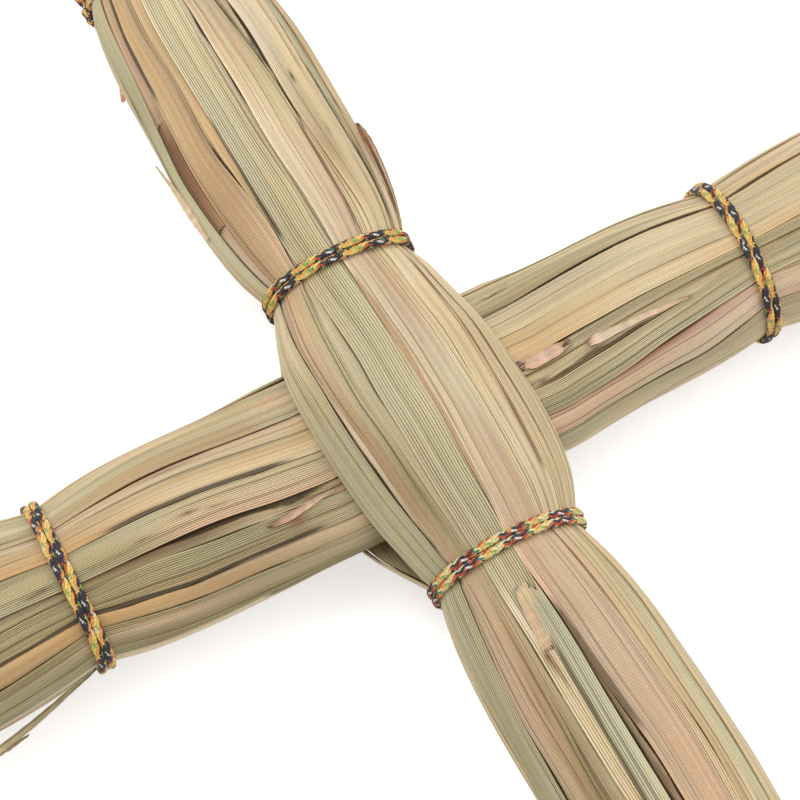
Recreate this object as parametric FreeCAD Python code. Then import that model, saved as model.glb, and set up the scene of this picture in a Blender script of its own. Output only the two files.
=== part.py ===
import FreeCAD, Part
import math
import os
from FreeCAD import Vector

# Cross of two bundles of dried ribbed leaves, tied with double turns of braided cord.
# The upright bundle runs along Y, the cross-piece along X; Z is up, lengths are in mm.
# The front half of the upright passes over the cross-piece and its rear half under it.

UPRIGHT_LENGTH = 430.0
CROSSPIECE_LENGTH = 316.0
LEAF_GAP = 0.25
LEAF_DEPTH = 2.2
EDGE_SLANT = 0.45
CORD_DIAMETER = 2.5

# Upright bundle
MIDDLE_TIE_AT = 51.0
OUTER_TIE_FROM_END = 37.0
UPRIGHT_TIE_HALF_WIDTH = 21.7
UPRIGHT_TIE_HALF_HEIGHT = 13.0
UPPER_ARM_HALF_WIDTH = 29.2
LOWER_ARM_HALF_WIDTH = 27.5
UPRIGHT_ARM_HALF_HEIGHT = 17.5
UPRIGHT_END_HALF_WIDTH = 29.0
UPRIGHT_END_HALF_HEIGHT = 16.5
CROSSING_HALF_WIDTH = 30.0
REAR_EXTRA_WIDTH = 1.0
FRONT_HALF_THICKNESS = 12.6
REAR_HALF_THICKNESS = 8.6

# How far the bundles stray sideways from straight lines
FRONT_CROSSING_SHIFT = -3.4
REAR_CROSSING_SHIFT = -4.2
UPPER_ARM_BOW = 1.5
UPPER_TIE_BOW = 0.3
LOWER_TIE_BOW = -0.9
CROSS_AXIS = -0.55
LEFT_ARM_BOW = -0.5
RIGHT_ARM_BOW = 0.95

# Cross-piece bundle
LEFT_TIE_FROM_END = 47.0
RIGHT_TIE_FROM_END = 53.5
RIGHT_TIE_LEAN = 1.7
CROSS_TIE_HALF_WIDTH = 23.9
CROSS_TIE_HALF_HEIGHT = 16.6
LEFT_ARM_HALF_WIDTH = 28.0
RIGHT_ARM_HALF_WIDTH = 26.5
CROSS_ARM_HALF_HEIGHT = 19.4
CROSS_END_HALF_WIDTH = 28.5
CROSS_END_HALF_HEIGHT = 19.0
PRESSED_HALF_WIDTH = 28.9
PRESSED_HALF_HEIGHT = 13.0

# Ties: one knot and two tails behind each
KNOT_LENGTH = 6.4
KNOT_THICKNESS = 4.6
KNOT_HALF_WIDTH = 2.7
SHORT_TAIL = 14.0
LONG_TAIL = 37.0
CORD_CLEARANCE = 1.3
TURN_SEGMENTS = 15

# Places that follow from the sizes above
UPRIGHT_END = UPRIGHT_LENGTH / 2
CROSS_END = CROSSPIECE_LENGTH / 2
OUTER_TIE_AT = UPRIGHT_END - OUTER_TIE_FROM_END
LEFT_TIE_AT = CROSS_END - LEFT_TIE_FROM_END
RIGHT_TIE_AT = CROSS_END - RIGHT_TIE_FROM_END
ARCH_HALF_WIDTH = PRESSED_HALF_WIDTH + 0.6
ARCH_HALF_HEIGHT = PRESSED_HALF_HEIGHT + LEAF_GAP + 0.15
LIFT_FROM = max(MIDDLE_TIE_AT - 2.5, ARCH_HALF_WIDTH + 6)
LIFT_TOUCH = ARCH_HALF_WIDTH ** 2 / LIFT_FROM
PRESSED_TO = CROSSING_HALF_WIDTH + REAR_EXTRA_WIDTH + abs(REAR_CROSSING_SHIFT) + 0.7
REST_Z = -(ARCH_HALF_HEIGHT + REAR_HALF_THICKNESS - 0.6)
CORE_INSET_X = LEAF_DEPTH + 1.2
CORE_INSET_Z = LEAF_DEPTH + 0.75


def blend(low, high, t, power):
    # rises fast at the pinch and runs out flat in the belly of the bundle
    t = min(max(t, 0.0), 1.0)
    return low + (high - low) * (1 - (1 - t) ** power)


def hump(t):
    t = min(max(t, 0.0), 1.0)
    return 0.5 + 0.5 * math.cos(math.pi * t)


def rise(t):
    return 1 - hump(t)


def table(value, xs, ys):
    if value <= xs[0]:
        return ys[0]
    for i in range(len(xs) - 1):
        if value <= xs[i + 1]:
            t = (value - xs[i]) / (xs[i + 1] - xs[i])
            return ys[i] + (ys[i + 1] - ys[i]) * t
    return ys[-1]


def upright_arm(share):
    # a place on the upright's arm, as a share of the span from its middle to its outer tie
    return MIDDLE_TIE_AT + (OUTER_TIE_AT - MIDDLE_TIE_AT) * share


def left_arm(share):
    return -PRESSED_TO - (LEFT_TIE_AT - PRESSED_TO) * share


def right_arm(share):
    return PRESSED_TO + (RIGHT_TIE_AT - PRESSED_TO) * share


def upright_lift(s):
    # underside of the front half: straight from the tie, then over the round cross-piece
    s = abs(s - CROSS_AXIS)
    if s >= LIFT_FROM:
        return 0.0
    touch = ARCH_HALF_HEIGHT * math.sqrt(1 - (LIFT_TOUCH / ARCH_HALF_WIDTH) ** 2)
    if s > LIFT_TOUCH:
        return touch * (LIFT_FROM - s) / (LIFT_FROM - LIFT_TOUCH)
    return ARCH_HALF_HEIGHT * math.sqrt(1 - (s / ARCH_HALF_WIDTH) ** 2)


def arm_profile(s, crossing, tie, arm, end, crossing_power, arm_power):
    s = abs(s)
    if s <= MIDDLE_TIE_AT:
        return blend(tie, crossing, (MIDDLE_TIE_AT - s) / MIDDLE_TIE_AT, crossing_power)
    half = (OUTER_TIE_AT - MIDDLE_TIE_AT) / 2
    if s <= OUTER_TIE_AT:
        return blend(tie, arm, min(s - MIDDLE_TIE_AT, OUTER_TIE_AT - s) / half, arm_power)
    return blend(tie, end, (s - OUTER_TIE_AT) / (UPRIGHT_END - OUTER_TIE_AT), 1.6)


class Upright:
    name = "upright"
    axis = Vector(0, 1, 0)
    across = Vector(1, 0, 0)
    stations = []

    def width(self, s, rear):
        arm = UPPER_ARM_HALF_WIDTH if s > 0 else LOWER_ARM_HALF_WIDTH
        crossing = CROSSING_HALF_WIDTH + (REAR_EXTRA_WIDTH if rear else 0.0)
        return arm_profile(s, crossing, UPRIGHT_TIE_HALF_WIDTH, arm, UPRIGHT_END_HALF_WIDTH,
                           2.2 if s > 0 else 3.2, 3.4)

    def height(self, s, rear):
        crossing = REAR_HALF_THICKNESS if rear else FRONT_HALF_THICKNESS
        if abs(s) <= MIDDLE_TIE_AT:
            t = 1 - abs(s) / MIDDLE_TIE_AT
            return UPRIGHT_TIE_HALF_HEIGHT + (crossing - UPRIGHT_TIE_HALF_HEIGHT) * t ** 0.8
        return arm_profile(s, crossing, UPRIGHT_TIE_HALF_HEIGHT, UPRIGHT_ARM_HALF_HEIGHT,
                           UPRIGHT_END_HALF_HEIGHT, 2.4, 2.4)

    def bow(self, s):
        # the upper arm bows to the right and the lower tie sits a little to the left
        if s >= 0:
            peak = upright_arm(0.64)
            grown = rise((s - upright_arm(0.2)) / (peak - upright_arm(0.2)))
            fallen = rise((s - peak) / (OUTER_TIE_AT - peak))
            return UPPER_ARM_BOW * grown - (UPPER_ARM_BOW - UPPER_TIE_BOW) * fallen
        if -s >= MIDDLE_TIE_AT:
            return LOWER_TIE_BOW * hump((-s - MIDDLE_TIE_AT) / (upright_arm(0.35) - MIDDLE_TIE_AT))
        return LOWER_TIE_BOW * hump((MIDDLE_TIE_AT + s) / 14)

    def shift(self, s, rear):
        t = abs(s) / MIDDLE_TIE_AT
        if rear:
            return REAR_CROSSING_SHIFT * hump(t if s > 0 else t ** 2.2) + self.bow(s)
        return FRONT_CROSSING_SHIFT * hump(t ** 1.8 if s > 0 else t) + self.bow(s)

    def lift(self, s):
        return upright_lift(s)

    def place(self, lateral, s, z):
        return Vector(lateral, s, z)


class CrossPiece:
    name = "crosspiece"
    axis = Vector(1, 0, 0)
    across = Vector(0, 1, 0)
    stations = []

    def width(self, s, rear):
        arm = RIGHT_ARM_HALF_WIDTH if s > 0 else LEFT_ARM_HALF_WIDTH
        tie_at = RIGHT_TIE_AT if s > 0 else LEFT_TIE_AT
        s = abs(s)
        if s <= PRESSED_TO:
            return PRESSED_HALF_WIDTH
        middle = PRESSED_TO + (tie_at - PRESSED_TO) * 0.45
        if s <= middle:
            return blend(PRESSED_HALF_WIDTH, arm, (s - PRESSED_TO) / (middle - PRESSED_TO), 2.0)
        if s <= tie_at:
            return blend(CROSS_TIE_HALF_WIDTH, arm, (tie_at - s) / (tie_at - middle), 2.4)
        return blend(CROSS_TIE_HALF_WIDTH, CROSS_END_HALF_WIDTH, (s - tie_at) / (CROSS_END - tie_at), 2.2)

    def height(self, s, rear):
        tie_at = RIGHT_TIE_AT if s > 0 else LEFT_TIE_AT
        s = abs(s)
        if s <= PRESSED_TO:
            return PRESSED_HALF_HEIGHT
        middle = PRESSED_TO + (tie_at - PRESSED_TO) * 0.5
        if s <= middle:
            t = (s - PRESSED_TO) / (middle - PRESSED_TO)
            return blend(PRESSED_HALF_HEIGHT, CROSS_ARM_HALF_HEIGHT, t, 1.8)
        if s <= tie_at:
            return blend(CROSS_TIE_HALF_HEIGHT, CROSS_ARM_HALF_HEIGHT, (tie_at - s) / (tie_at - middle), 2.2)
        return blend(CROSS_TIE_HALF_HEIGHT, CROSS_END_HALF_HEIGHT, (s - tie_at) / (CROSS_END - tie_at), 2.0)

    def shift(self, s, rear):
        if s < 0:
            return CROSS_AXIS + LEFT_ARM_BOW * rise((s + PRESSED_TO) / (left_arm(0.32) + PRESSED_TO))
        return CROSS_AXIS + RIGHT_ARM_BOW * rise((s - PRESSED_TO) / (right_arm(0.73) - PRESSED_TO))

    def lift(self, s):
        return 0.0

    def place(self, lateral, s, z):
        return Vector(s, lateral, z)


def mirrored(values):
    return sorted(set([-v for v in values] + list(values)))


upright = Upright()
OVER_CROSSING = mirrored([0.0, LIFT_TOUCH / 2, LIFT_TOUCH, (LIFT_TOUCH + MIDDLE_TIE_AT) / 2])
upright.stations = sorted([CROSS_AXIS + s for s in OVER_CROSSING] + mirrored([
    MIDDLE_TIE_AT,
    upright_arm(0.06),
    upright_arm(0.2),
    upright_arm(0.5),
    upright_arm(0.79),
    OUTER_TIE_AT,
    OUTER_TIE_AT + OUTER_TIE_FROM_END * 0.27,
    UPRIGHT_END,
]))
crosspiece = CrossPiece()
crosspiece.stations = sorted([
    -CROSS_END,
    -LEFT_TIE_AT - LEFT_TIE_FROM_END * 0.53,
    -LEFT_TIE_AT - LEFT_TIE_FROM_END * 0.16,
    -LEFT_TIE_AT,
    left_arm(0.7),
    left_arm(0.34),
    -PRESSED_TO,
    PRESSED_TO,
    right_arm(0.34),
    right_arm(0.7),
    RIGHT_TIE_AT,
    RIGHT_TIE_AT + RIGHT_TIE_FROM_END * 0.16,
    RIGHT_TIE_AT + RIGHT_TIE_FROM_END * 0.53,
    CROSS_END,
])


def exact_point(bundle, s, angle, inward, rear):
    # angle 0 is the front (+Z), 90 degrees the +lateral side, 180 the rear
    a = bundle.width(s, rear)
    h = bundle.height(s, rear)
    nx = math.sin(angle) / a
    nz = math.cos(angle) / h
    size = math.hypot(nx, nz)
    x = a * math.sin(angle) - inward * nx / size
    z = h * math.cos(angle) - inward * nz / size
    if abs(math.cos(angle)) < 1e-9:
        z = 0.0
    z += -bundle.lift(s) if rear else bundle.lift(s)
    z = max(z, REST_Z + max(inward, 0.0))
    return bundle.shift(s, rear) + x, z


def surface_point(bundle, s, angle, inward, rear):
    # straight between stations, like the ruled leaves themselves
    st = bundle.stations
    s = min(max(s, st[0]), st[-1])
    i = max(k for k in range(len(st) - 1) if st[k] <= s)
    t = (s - st[i]) / (st[i + 1] - st[i])
    x0, z0 = exact_point(bundle, st[i], angle, inward, rear)
    x1, z1 = exact_point(bundle, st[i + 1], angle, inward, rear)
    return x0 + (x1 - x0) * t, z0 + (z1 - z0) * t


def arc_rate(bundle, s, angle, rear):
    return math.hypot(bundle.width(s, rear) * math.cos(angle), bundle.height(s, rear) * math.sin(angle))


def solid_from_facets(points, facets):
    shape = Part.Shape()
    shape.makeShapeFromMesh((points, facets), 0.0005)
    solid = Part.makeSolid(shape)
    if solid.Volume < 0:
        solid.reverse()
    return solid


def solid_from_sections(sections, split):
    # split lists the quads that close each end section
    n = len(sections[0])
    points = []
    for section in sections:
        points += section
    facets = []
    for j in range(len(sections) - 1):
        for k in range(n):
            a = j * n + k
            b = j * n + (k + 1) % n
            c = a + n
            d = b + n
            if k == n - 1:
                facets += [(a, b, c), (b, d, c)]
            else:
                facets += [(a, b, d), (a, d, c)]
    last = (len(sections) - 1) * n
    for q in split:
        for tri in ((q[0], q[1], q[2]), (q[0], q[2], q[3])):
            facets.append((tri[2], tri[1], tri[0]))
            facets.append((tri[0] + last, tri[1] + last, tri[2] + last))
    return solid_from_facets(points, facets)


LEAF_SPLIT = ((0, 1, 4, 5), (1, 2, 3, 4))
QUAD_SPLIT = ((0, 1, 2, 3),)


def leaf_sections(bundle, stations, left, right, levels, slants, mid=0.5, rear=False):
    # left and right give the border angles at a station; levels how deep the leaf lies there
    out = []
    half = LEAF_GAP / 2
    for s in stations:
        al = left(s)
        ar = right(s)
        am = al + (ar - al) * (mid(s) if callable(mid) else mid)
        depth = levels(s) if callable(levels) else levels
        rows = []
        for angle, level, slant, side in ((al, depth[0], slants[0], 1), (am, depth[1], 0.0, 0),
                                          (ar, depth[2], slants[1], -1)):
            top = angle
            low = angle
            if abs(abs(angle) - math.pi / 2) > 1e-6:
                rate = arc_rate(bundle, s, angle, rear)
                top += (slant + side * half) / rate
                low += (-slant + side * half * 1.7) / rate
            rows.append((surface_point(bundle, s, top, level, rear),
                         surface_point(bundle, s, low, LEAF_DEPTH, rear)))
        ring = [rows[0][0], rows[1][0], rows[2][0], rows[2][1], rows[1][1], rows[0][1]]
        out.append([bundle.place(x, s, z) for x, z in ring])
    return out


def border(stations, shares):
    # shares are percentages of the half width, read across the front of the bundle
    def angle(s):
        share = table(s, stations, shares) / 100.0
        return math.asin(min(max(share, -1.0), 1.0))
    return angle


def fixed(angle_degrees):
    angle = math.radians(angle_degrees)
    return lambda s: angle


def strip(bundle, spots, thickness, rear=False):
    # spots: station, angle in degrees, half width, height over the surface
    out = []
    for s, degrees, half_width, over in spots:
        angle = math.radians(degrees)
        rate = arc_rate(bundle, s, angle, rear)
        ends = []
        for side, inward in ((-1, -over - thickness), (1, -over - thickness), (1, -over), (-1, -over)):
            ends.append(surface_point(bundle, s, angle + side * half_width / rate, inward, rear))
        out.append([bundle.place(x, s, z) for x, z in ends])
    return solid_from_sections(out, QUAD_SPLIT)


os.makedirs("parts", exist_ok=True)
pieces = {}

# Borders between neighbouring leaves on the front of the upright, from its picture-left side
U_AT = [-UPRIGHT_END, -OUTER_TIE_AT, -upright_arm(0.58), -upright_arm(0.35), -upright_arm(0.09),
        -MIDDLE_TIE_AT, 0.0, MIDDLE_TIE_AT, upright_arm(0.09), upright_arm(0.39), upright_arm(0.78),
        OUTER_TIE_AT, UPRIGHT_END]
UPRIGHT_BORDERS = [
    [-87, -88, -87, -86, -79, -80, -79, -93, -93, -96, -89, -89, -88],
    [-72, -73, -71, -71, -67, -71, -70, -83, -83, -86, -78, -76, -75],
    [-58, -58, -58, -56, -52, -56, -55, -61, -52, -58, -61, -60, -59],
    [-40, -40, -40, -41, -41, -41, -36, -47, -45, -45, -43, -40, -39],
    [-8, -8, -8, -8, -5, -4, -2, -5, -10, -14, -14, -12, -11],
    [8, 8, 6, 1, 0, 2, 7, 4, 3, -1, -2, 1, 1],
    [44, 45, 45, 44, 43, 44, 36, 42, 40, 33, 25, 26, 26],
    [57, 58, 59, 55, 56, 58, 53, 60, 58, 41, 41, 44, 43],
    [67, 68, 67, 67, 70, 73, 71, 81, 81, 74, 73, 76, 75],
    [85, 86, 86, 84, 87, 90, 84, 92, 91, 87, 88, 91, 89],
]
UPRIGHT_LEVELS = [
    (0.0, 0.0, 0.1), (0.9, 0.6, 0.7), (0.0, 0.0, 0.0), (0.6, 0.2, 0.5), (0.0, 0.0, 0.0),
    (0.9, 0.7, 0.8), (0.1, 0.0, 0.0), (0.9, 0.4, 0.4), (0.1, 0.0, 0.1), (0.9, 0.3, 0.4), (0.1, 0.0, 0.0),
]
# +1 where the leaf on the picture-left of a border lies over the one on its right
UPRIGHT_OVER = [1, -1, 1, -1, 1, -1, 1, -1, 1, -1]

BREAK_LOW = upright_arm(0.213)
BREAK_HIGH = upright_arm(0.543)
BREAK_CLEARANCE = 0.3
PATCH_LEVELS = (1.3, 1.2, 1.3)
SHORT_LEAF_TOP = -upright_arm(0.118)


def wide_leaf_levels(s):
    # the wide green leaf lies deeper below the lower tie, where a short leaf covers half of it
    return (0.1, 1.15, 1.15) if s < -MIDDLE_TIE_AT else (0.0, 0.0, 0.0)


def wide_leaf_mid(s):
    return 0.3 if s < -MIDDLE_TIE_AT else 0.5


edges = [fixed(-90)] + [border(U_AT, row) for row in UPRIGHT_BORDERS] + [fixed(90)]
slants = [0.0] + [EDGE_SLANT * side for side in UPRIGHT_OVER] + [0.0]


def upright_leaf(i, stations, levels, mid=0.5):
    sections = leaf_sections(upright, stations, edges[i], edges[i + 1], levels, (slants[i], slants[i + 1]), mid)
    return solid_from_sections(sections, LEAF_SPLIT)


WIDE_LEAF = 4
TORN_LEAF = 1
for i in range(len(edges) - 1):
    if i == TORN_LEAF:
        # torn out between the middle and the outer tie, where a brown leaf shows below it
        low = [s for s in upright.stations if s < BREAK_LOW] + [BREAK_LOW]
        high = [BREAK_HIGH] + [s for s in upright.stations if s > BREAK_HIGH]
        between = ([BREAK_LOW + BREAK_CLEARANCE]
                   + [s for s in upright.stations if BREAK_LOW + 1 < s < BREAK_HIGH - 1]
                   + [BREAK_HIGH - BREAK_CLEARANCE])
        pieces["upright_torn_leaf_lower"] = upright_leaf(i, low, UPRIGHT_LEVELS[i])
        pieces["upright_torn_leaf_upper"] = upright_leaf(i, high, UPRIGHT_LEVELS[i])
        pieces["upright_brown_patch"] = upright_leaf(i, between, PATCH_LEVELS)
    elif i == WIDE_LEAF:
        pieces["upright_front_leaf_%02d" % (i + 1)] = upright_leaf(i, upright.stations, wide_leaf_levels,
                                                                   wide_leaf_mid)
    else:
        pieces["upright_front_leaf_%02d" % (i + 1)] = upright_leaf(i, upright.stations, UPRIGHT_LEVELS[i])

# Leaves on the rear of both bundles
REAR_ANGLES = [-90, -108, -130, -152, -176, -200, -223, -248, -270]
CROSS_REAR_ANGLES = [-90, -110, -131, -153, -177, -201, -224, -247, -270]
REAR_LEVELS = [(0.0, 0.0, 0.0), (0.6, 0.3, 0.5), (0.0, 0.0, 0.0), (0.5, 0.2, 0.5), (0.0, 0.0, 0.0),
               (0.5, 0.2, 0.5), (0.0, 0.0, 0.0), (0.4, 0.1, 0.0)]


def rear_slant(i, last):
    # borders alternate in which leaf lies on top; the two next to the sides lean less
    if i in (0, last):
        return 0.0
    lean = 0.5 if i in (1, last - 1) else 1.0
    return EDGE_SLANT * lean * (1 if i % 2 else -1)


def rear_leaves(bundle, degrees):
    last = len(degrees) - 1
    for i in range(last):
        sections = leaf_sections(bundle, bundle.stations, fixed(degrees[i + 1]), fixed(degrees[i]),
                                 REAR_LEVELS[i][::-1], (rear_slant(i + 1, last), rear_slant(i, last)), 0.5, True)
        pieces["%s_rear_leaf_%02d" % (bundle.name, i + 1)] = solid_from_sections(sections, LEAF_SPLIT)


rear_leaves(upright, REAR_ANGLES)
rear_leaves(crosspiece, CROSS_REAR_ANGLES)

# Borders on the front of the cross-piece, from its picture-upper side downward
C_AT = [-CROSS_END, -LEFT_TIE_AT, left_arm(0.6), left_arm(0.2), right_arm(-0.08), right_arm(0.28), right_arm(0.65),
        RIGHT_TIE_AT, CROSS_END]
CROSS_BORDERS = [
    [94, 90, 95, 94, 91, 94, 91, 86, 89],
    [74, 69, 74, 72, 71, 73, 67, 60, 64],
    [51, 46, 45, 40, 52, 54, 56, 56, 61],
    [29, 27, 22, 15, 14, 12, 12, 13, 16],
    [10, 8, 4, -4, -12, -17, -18, -12, -10],
    [-29, -28, -32, -38, -28, -30, -29, -24, -25],
    [-48, -45, -50, -56, -50, -53, -46, -36, -35],
    [-70, -65, -75, -76, -71, -74, -67, -56, -57],
    [-88, -83, -89, -92, -93, -95, -95, -88, -91],
]
CROSS_LEVELS = [
    (0.0, 0.0, 0.1), (0.6, 0.2, 0.3), (0.1, 0.0, 0.0), (0.7, 0.2, 0.5), (0.0, 0.0, 0.0),
    (0.6, 0.1, 0.0), (0.9, 0.5, 0.6), (0.1, 0.0, 0.1), (0.7, 0.2, 0.4), (0.0, 0.0, 0.0),
]
CROSS_OVER = [1, -1, 1, -1, 1, 1, -1, 1, -1]

edges = [fixed(90)] + [border(C_AT, row) for row in CROSS_BORDERS] + [fixed(-90)]
slants = [0.0] + [-EDGE_SLANT * side for side in CROSS_OVER] + [0.0]
for i in range(len(edges) - 1):
    sections = leaf_sections(crosspiece, crosspiece.stations, edges[i + 1], edges[i],
                             CROSS_LEVELS[i][::-1], (slants[i + 1], slants[i]))
    pieces["crosspiece_front_leaf_%02d" % (i + 1)] = solid_from_sections(sections, LEAF_SPLIT)


# Inner leaves: flat wads stacked inside each ring of outer leaves
def inner_block(bundle, rear, low, high, from_share, to_share):
    # low and high are shares of the inner height, from_share and to_share of the layer's width
    out = []
    for s in bundle.stations:
        a = bundle.width(s, rear) - CORE_INSET_X
        h = bundle.height(s, rear) - CORE_INSET_Z
        shift = bundle.shift(s, rear)
        base = bundle.lift(s) + LEAF_GAP / 2
        z0 = base + low * h
        z1 = base + high * h - LEAF_GAP
        x0 = a * math.sqrt(1 - low ** 2)
        x1 = a * math.sqrt(1 - high ** 2)
        gap_left = LEAF_GAP / 2 if from_share > -1 else 0.0
        gap_right = LEAF_GAP / 2 if to_share < 1 else 0.0
        quad = [(x0 * from_share + gap_left, z0), (x0 * to_share - gap_right, z0),
                (x1 * to_share - gap_right, z1), (x1 * from_share + gap_left, z1)]
        if rear:
            quad = [(x, -z) for x, z in quad[::-1]]
        out.append([bundle.place(x + shift, s, z) for x, z in quad])
    return solid_from_sections(out, QUAD_SPLIT)


def inner_leaves(bundle):
    blocks = []
    for rear in (False, True):
        for low, high, shares in ((0.0, 0.5, (-1, -0.3, 0.36, 1)), (0.5, 0.95, (-1, 0.08, 1))):
            for k in range(len(shares) - 1):
                blocks.append(inner_block(bundle, rear, low, high, shares[k], shares[k + 1]))
    return Part.makeCompound(blocks)


pieces["upright_inner_leaves"] = inner_leaves(upright)
pieces["crosspiece_inner_leaves"] = inner_leaves(crosspiece)

# Short green leaf that starts with a torn end just below the lower middle tie
SHORT_LEAF_SHARES = (-0.27, -0.09)
SHORT_LEAF_THICKNESS = 0.85
sections = []
for s in [s for s in upright.stations if s < SHORT_LEAF_TOP] + [SHORT_LEAF_TOP]:
    left, right = (math.asin(share) for share in SHORT_LEAF_SHARES)
    ring = []
    for angle, inward in ((left, 0.0), (right, 0.0), (right, SHORT_LEAF_THICKNESS), (left, SHORT_LEAF_THICKNESS)):
        x, z = surface_point(upright, s, angle, inward, False)
        ring.append(upright.place(x, s, z))
    sections.append(ring)
pieces["upright_short_leaf"] = solid_from_sections(sections, QUAD_SPLIT)

# Curled flap and torn strips that lie loose on the bundles
STRIP_THICKNESS = 0.8
pieces["upright_brown_flap"] = strip(upright, [
    (upright_arm(0.06), 80, 1.3, 0.35),
    (upright_arm(0.14), 77, 2.0, 0.6),
    (upright_arm(0.23), 75, 2.3, 0.7),
    (upright_arm(0.3), 75, 1.7, 0.8),
    (upright_arm(0.335), 76, 0.6, 1.0),
], STRIP_THICKNESS)
pieces["upright_torn_sliver"] = strip(upright, [
    (upright_arm(0.22), -82, 0.9, 0.25),
    (upright_arm(0.35), -82, 0.8, 0.7),
    (upright_arm(0.44), -82, 0.35, 3.6),
], 0.6)
pieces["crosspiece_torn_strip_upper"] = strip(crosspiece, [
    (right_arm(0.04), -12.5, 1.4, 0.25),
    (right_arm(0.13), -13, 2.0, 0.4),
    (right_arm(0.2), -13.5, 0.9, 0.6),
], STRIP_THICKNESS)
pieces["crosspiece_torn_strip_lower"] = strip(crosspiece, [
    (right_arm(0.18), -24, 0.8, 0.25),
    (right_arm(0.38), -26, 1.3, 0.4),
    (right_arm(0.63), -26.5, 0.8, 0.4),
], STRIP_THICKNESS)
pieces["crosspiece_torn_tip"] = strip(crosspiece, [
    (left_arm(0.27), -36, 1.2, 0.3),
    (left_arm(0.13), -34, 1.5, 0.5),
    (left_arm(0.01), -29, 0.6, 0.4),
], STRIP_THICKNESS)

# Blades at the picture-left end that stand off the bundle beyond its tie
SPLAY_FROM = -LEFT_TIE_AT - LEFT_TIE_FROM_END * 0.16
SPLAY_HALF = -LEFT_TIE_AT - LEFT_TIE_FROM_END * 0.53
SPLAY_TO = -CROSS_END + 0.5
SPLAY_STANDS_OFF = 7.4
TORN_END_STANDS_OFF = 8.6
pieces["crosspiece_splayed_blade"] = strip(crosspiece, [
    (SPLAY_FROM, -98, 1.3, 0.3),
    (SPLAY_HALF, -98, 1.9, SPLAY_STANDS_OFF * 0.49),
    (SPLAY_TO, -98, 1.9, SPLAY_STANDS_OFF),
], 0.9, True)
pieces["crosspiece_torn_end"] = strip(crosspiece, [
    (SPLAY_HALF - LEFT_TIE_FROM_END * 0.06, -112, 0.7, TORN_END_STANDS_OFF),
    (SPLAY_HALF - LEFT_TIE_FROM_END * 0.2, -108, 2.1, TORN_END_STANDS_OFF - 0.2),
    (SPLAY_TO, -106, 2.6, TORN_END_STANDS_OFF + 0.1),
], STRIP_THICKNESS, True)


# Cord ties
def ring_about(centre, radius, side, up):
    ring = []
    for k in range(6):
        a = math.radians(60 * k + 30)
        ring.append(centre + side * (radius * math.cos(a)) + up * (radius * math.sin(a)))
    return ring


def tube(path, radius, frame_axis):
    # six-sided cord along an open path
    out = []
    for i in range(len(path)):
        run = (path[min(i + 1, len(path) - 1)] - path[max(i - 1, 0)]).normalize()
        side = (frame_axis - run * frame_axis.dot(run)).normalize()
        out.append(ring_about(path[i], radius, side, run.cross(side)))
    return solid_from_sections(out, LEAF_SPLIT)


def turn_of_cord(points, radius, axis):
    # six-sided cord along a closed path
    count = len(points)
    flat = []
    for k in range(count):
        run = (points[(k + 1) % count] - points[k - 1]).normalize()
        flat += ring_about(points[k], radius, axis, run.cross(axis))
    facets = []
    for j in range(count):
        for m in range(6):
            a = j * 6 + m
            b = j * 6 + (m + 1) % 6
            c = (a + 6) % len(flat)
            d = (b + 6) % len(flat)
            facets += [(a, b, d), (a, d, c)]
    return solid_from_facets(flat, facets)


def tie(bundle, at, knot_degrees, long_tail, lean=0.0):
    # two turns side by side, a knot behind them and two tails that follow the bundle
    radius = CORD_DIAMETER / 2
    offset = radius + CORD_CLEARANCE
    width = bundle.width(at, False)

    def on_tie(s, angle, out_by):
        x, z = exact_point(bundle, at, angle, -out_by, math.cos(angle) < 0)
        return bundle.place(x, s + lean * (x - bundle.shift(at, False)) / width, z)

    parts = []
    for side in (-1, 1):
        turn = [on_tie(at + side * (radius + 0.05), 2 * math.pi * (k + 0.5) / TURN_SEGMENTS, offset)
                for k in range(TURN_SEGMENTS)]
        parts.append(turn_of_cord(turn, radius, bundle.axis))
    angle = math.radians(knot_degrees)
    rings = []
    for step, scale in ((-1.0, 0.45), (-0.5, 1.0), (0.5, 1.0), (1.0, 0.45)):
        ring = []
        for m in range(6):
            a = 2 * math.pi * m / 6
            spot = angle + scale * KNOT_HALF_WIDTH * math.cos(a) / arc_rate(bundle, at, angle, True)
            out_by = offset + 0.9 + scale * (KNOT_THICKNESS / 2) * math.sin(a)
            ring.append(on_tie(at + step * KNOT_LENGTH / 2, spot, out_by))
        rings.append(ring)
    parts.append(solid_from_sections(rings, ((0, 1, 2, 3), (0, 3, 4, 5))))
    inward = -1 if at > 0 else 1
    for way, length, drift in ((inward, LONG_TAIL if long_tail else SHORT_TAIL, -4.0),
                               (-inward, SHORT_TAIL * 0.7, 3.0)):
        path = []
        for t in (0.0, 0.4, 1.0):
            s = at + way * (KNOT_LENGTH * 0.25 + length * t)
            spot = angle + drift * t / arc_rate(bundle, s, angle, True)
            x, z = surface_point(bundle, s, spot, -(radius + 0.35 + 0.9 * (1 - t) ** 2), True)
            path.append(bundle.place(x, s, z))
        parts.append(tube(path, radius * 0.9, Vector(0, 0, 1) if abs(math.sin(angle)) > 0.7 else bundle.across))
    body = parts[0]
    for other in parts[1:]:
        body = body.fuse(other)
    return body.removeSplitter().Solids[0]


pieces["upright_tie_upper_middle"] = tie(upright, MIDDLE_TIE_AT, -152, False)
pieces["upright_tie_lower_middle"] = tie(upright, -MIDDLE_TIE_AT, -150, False)
pieces["upright_tie_upper_outer"] = tie(upright, OUTER_TIE_AT, -112, True)
pieces["upright_tie_lower_outer"] = tie(upright, -OUTER_TIE_AT, -128, False)
pieces["crosspiece_tie_left"] = tie(crosspiece, -LEFT_TIE_AT, -152, False)
pieces["crosspiece_tie_right"] = tie(crosspiece, RIGHT_TIE_AT, -152, False, RIGHT_TIE_LEAN)

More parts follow.
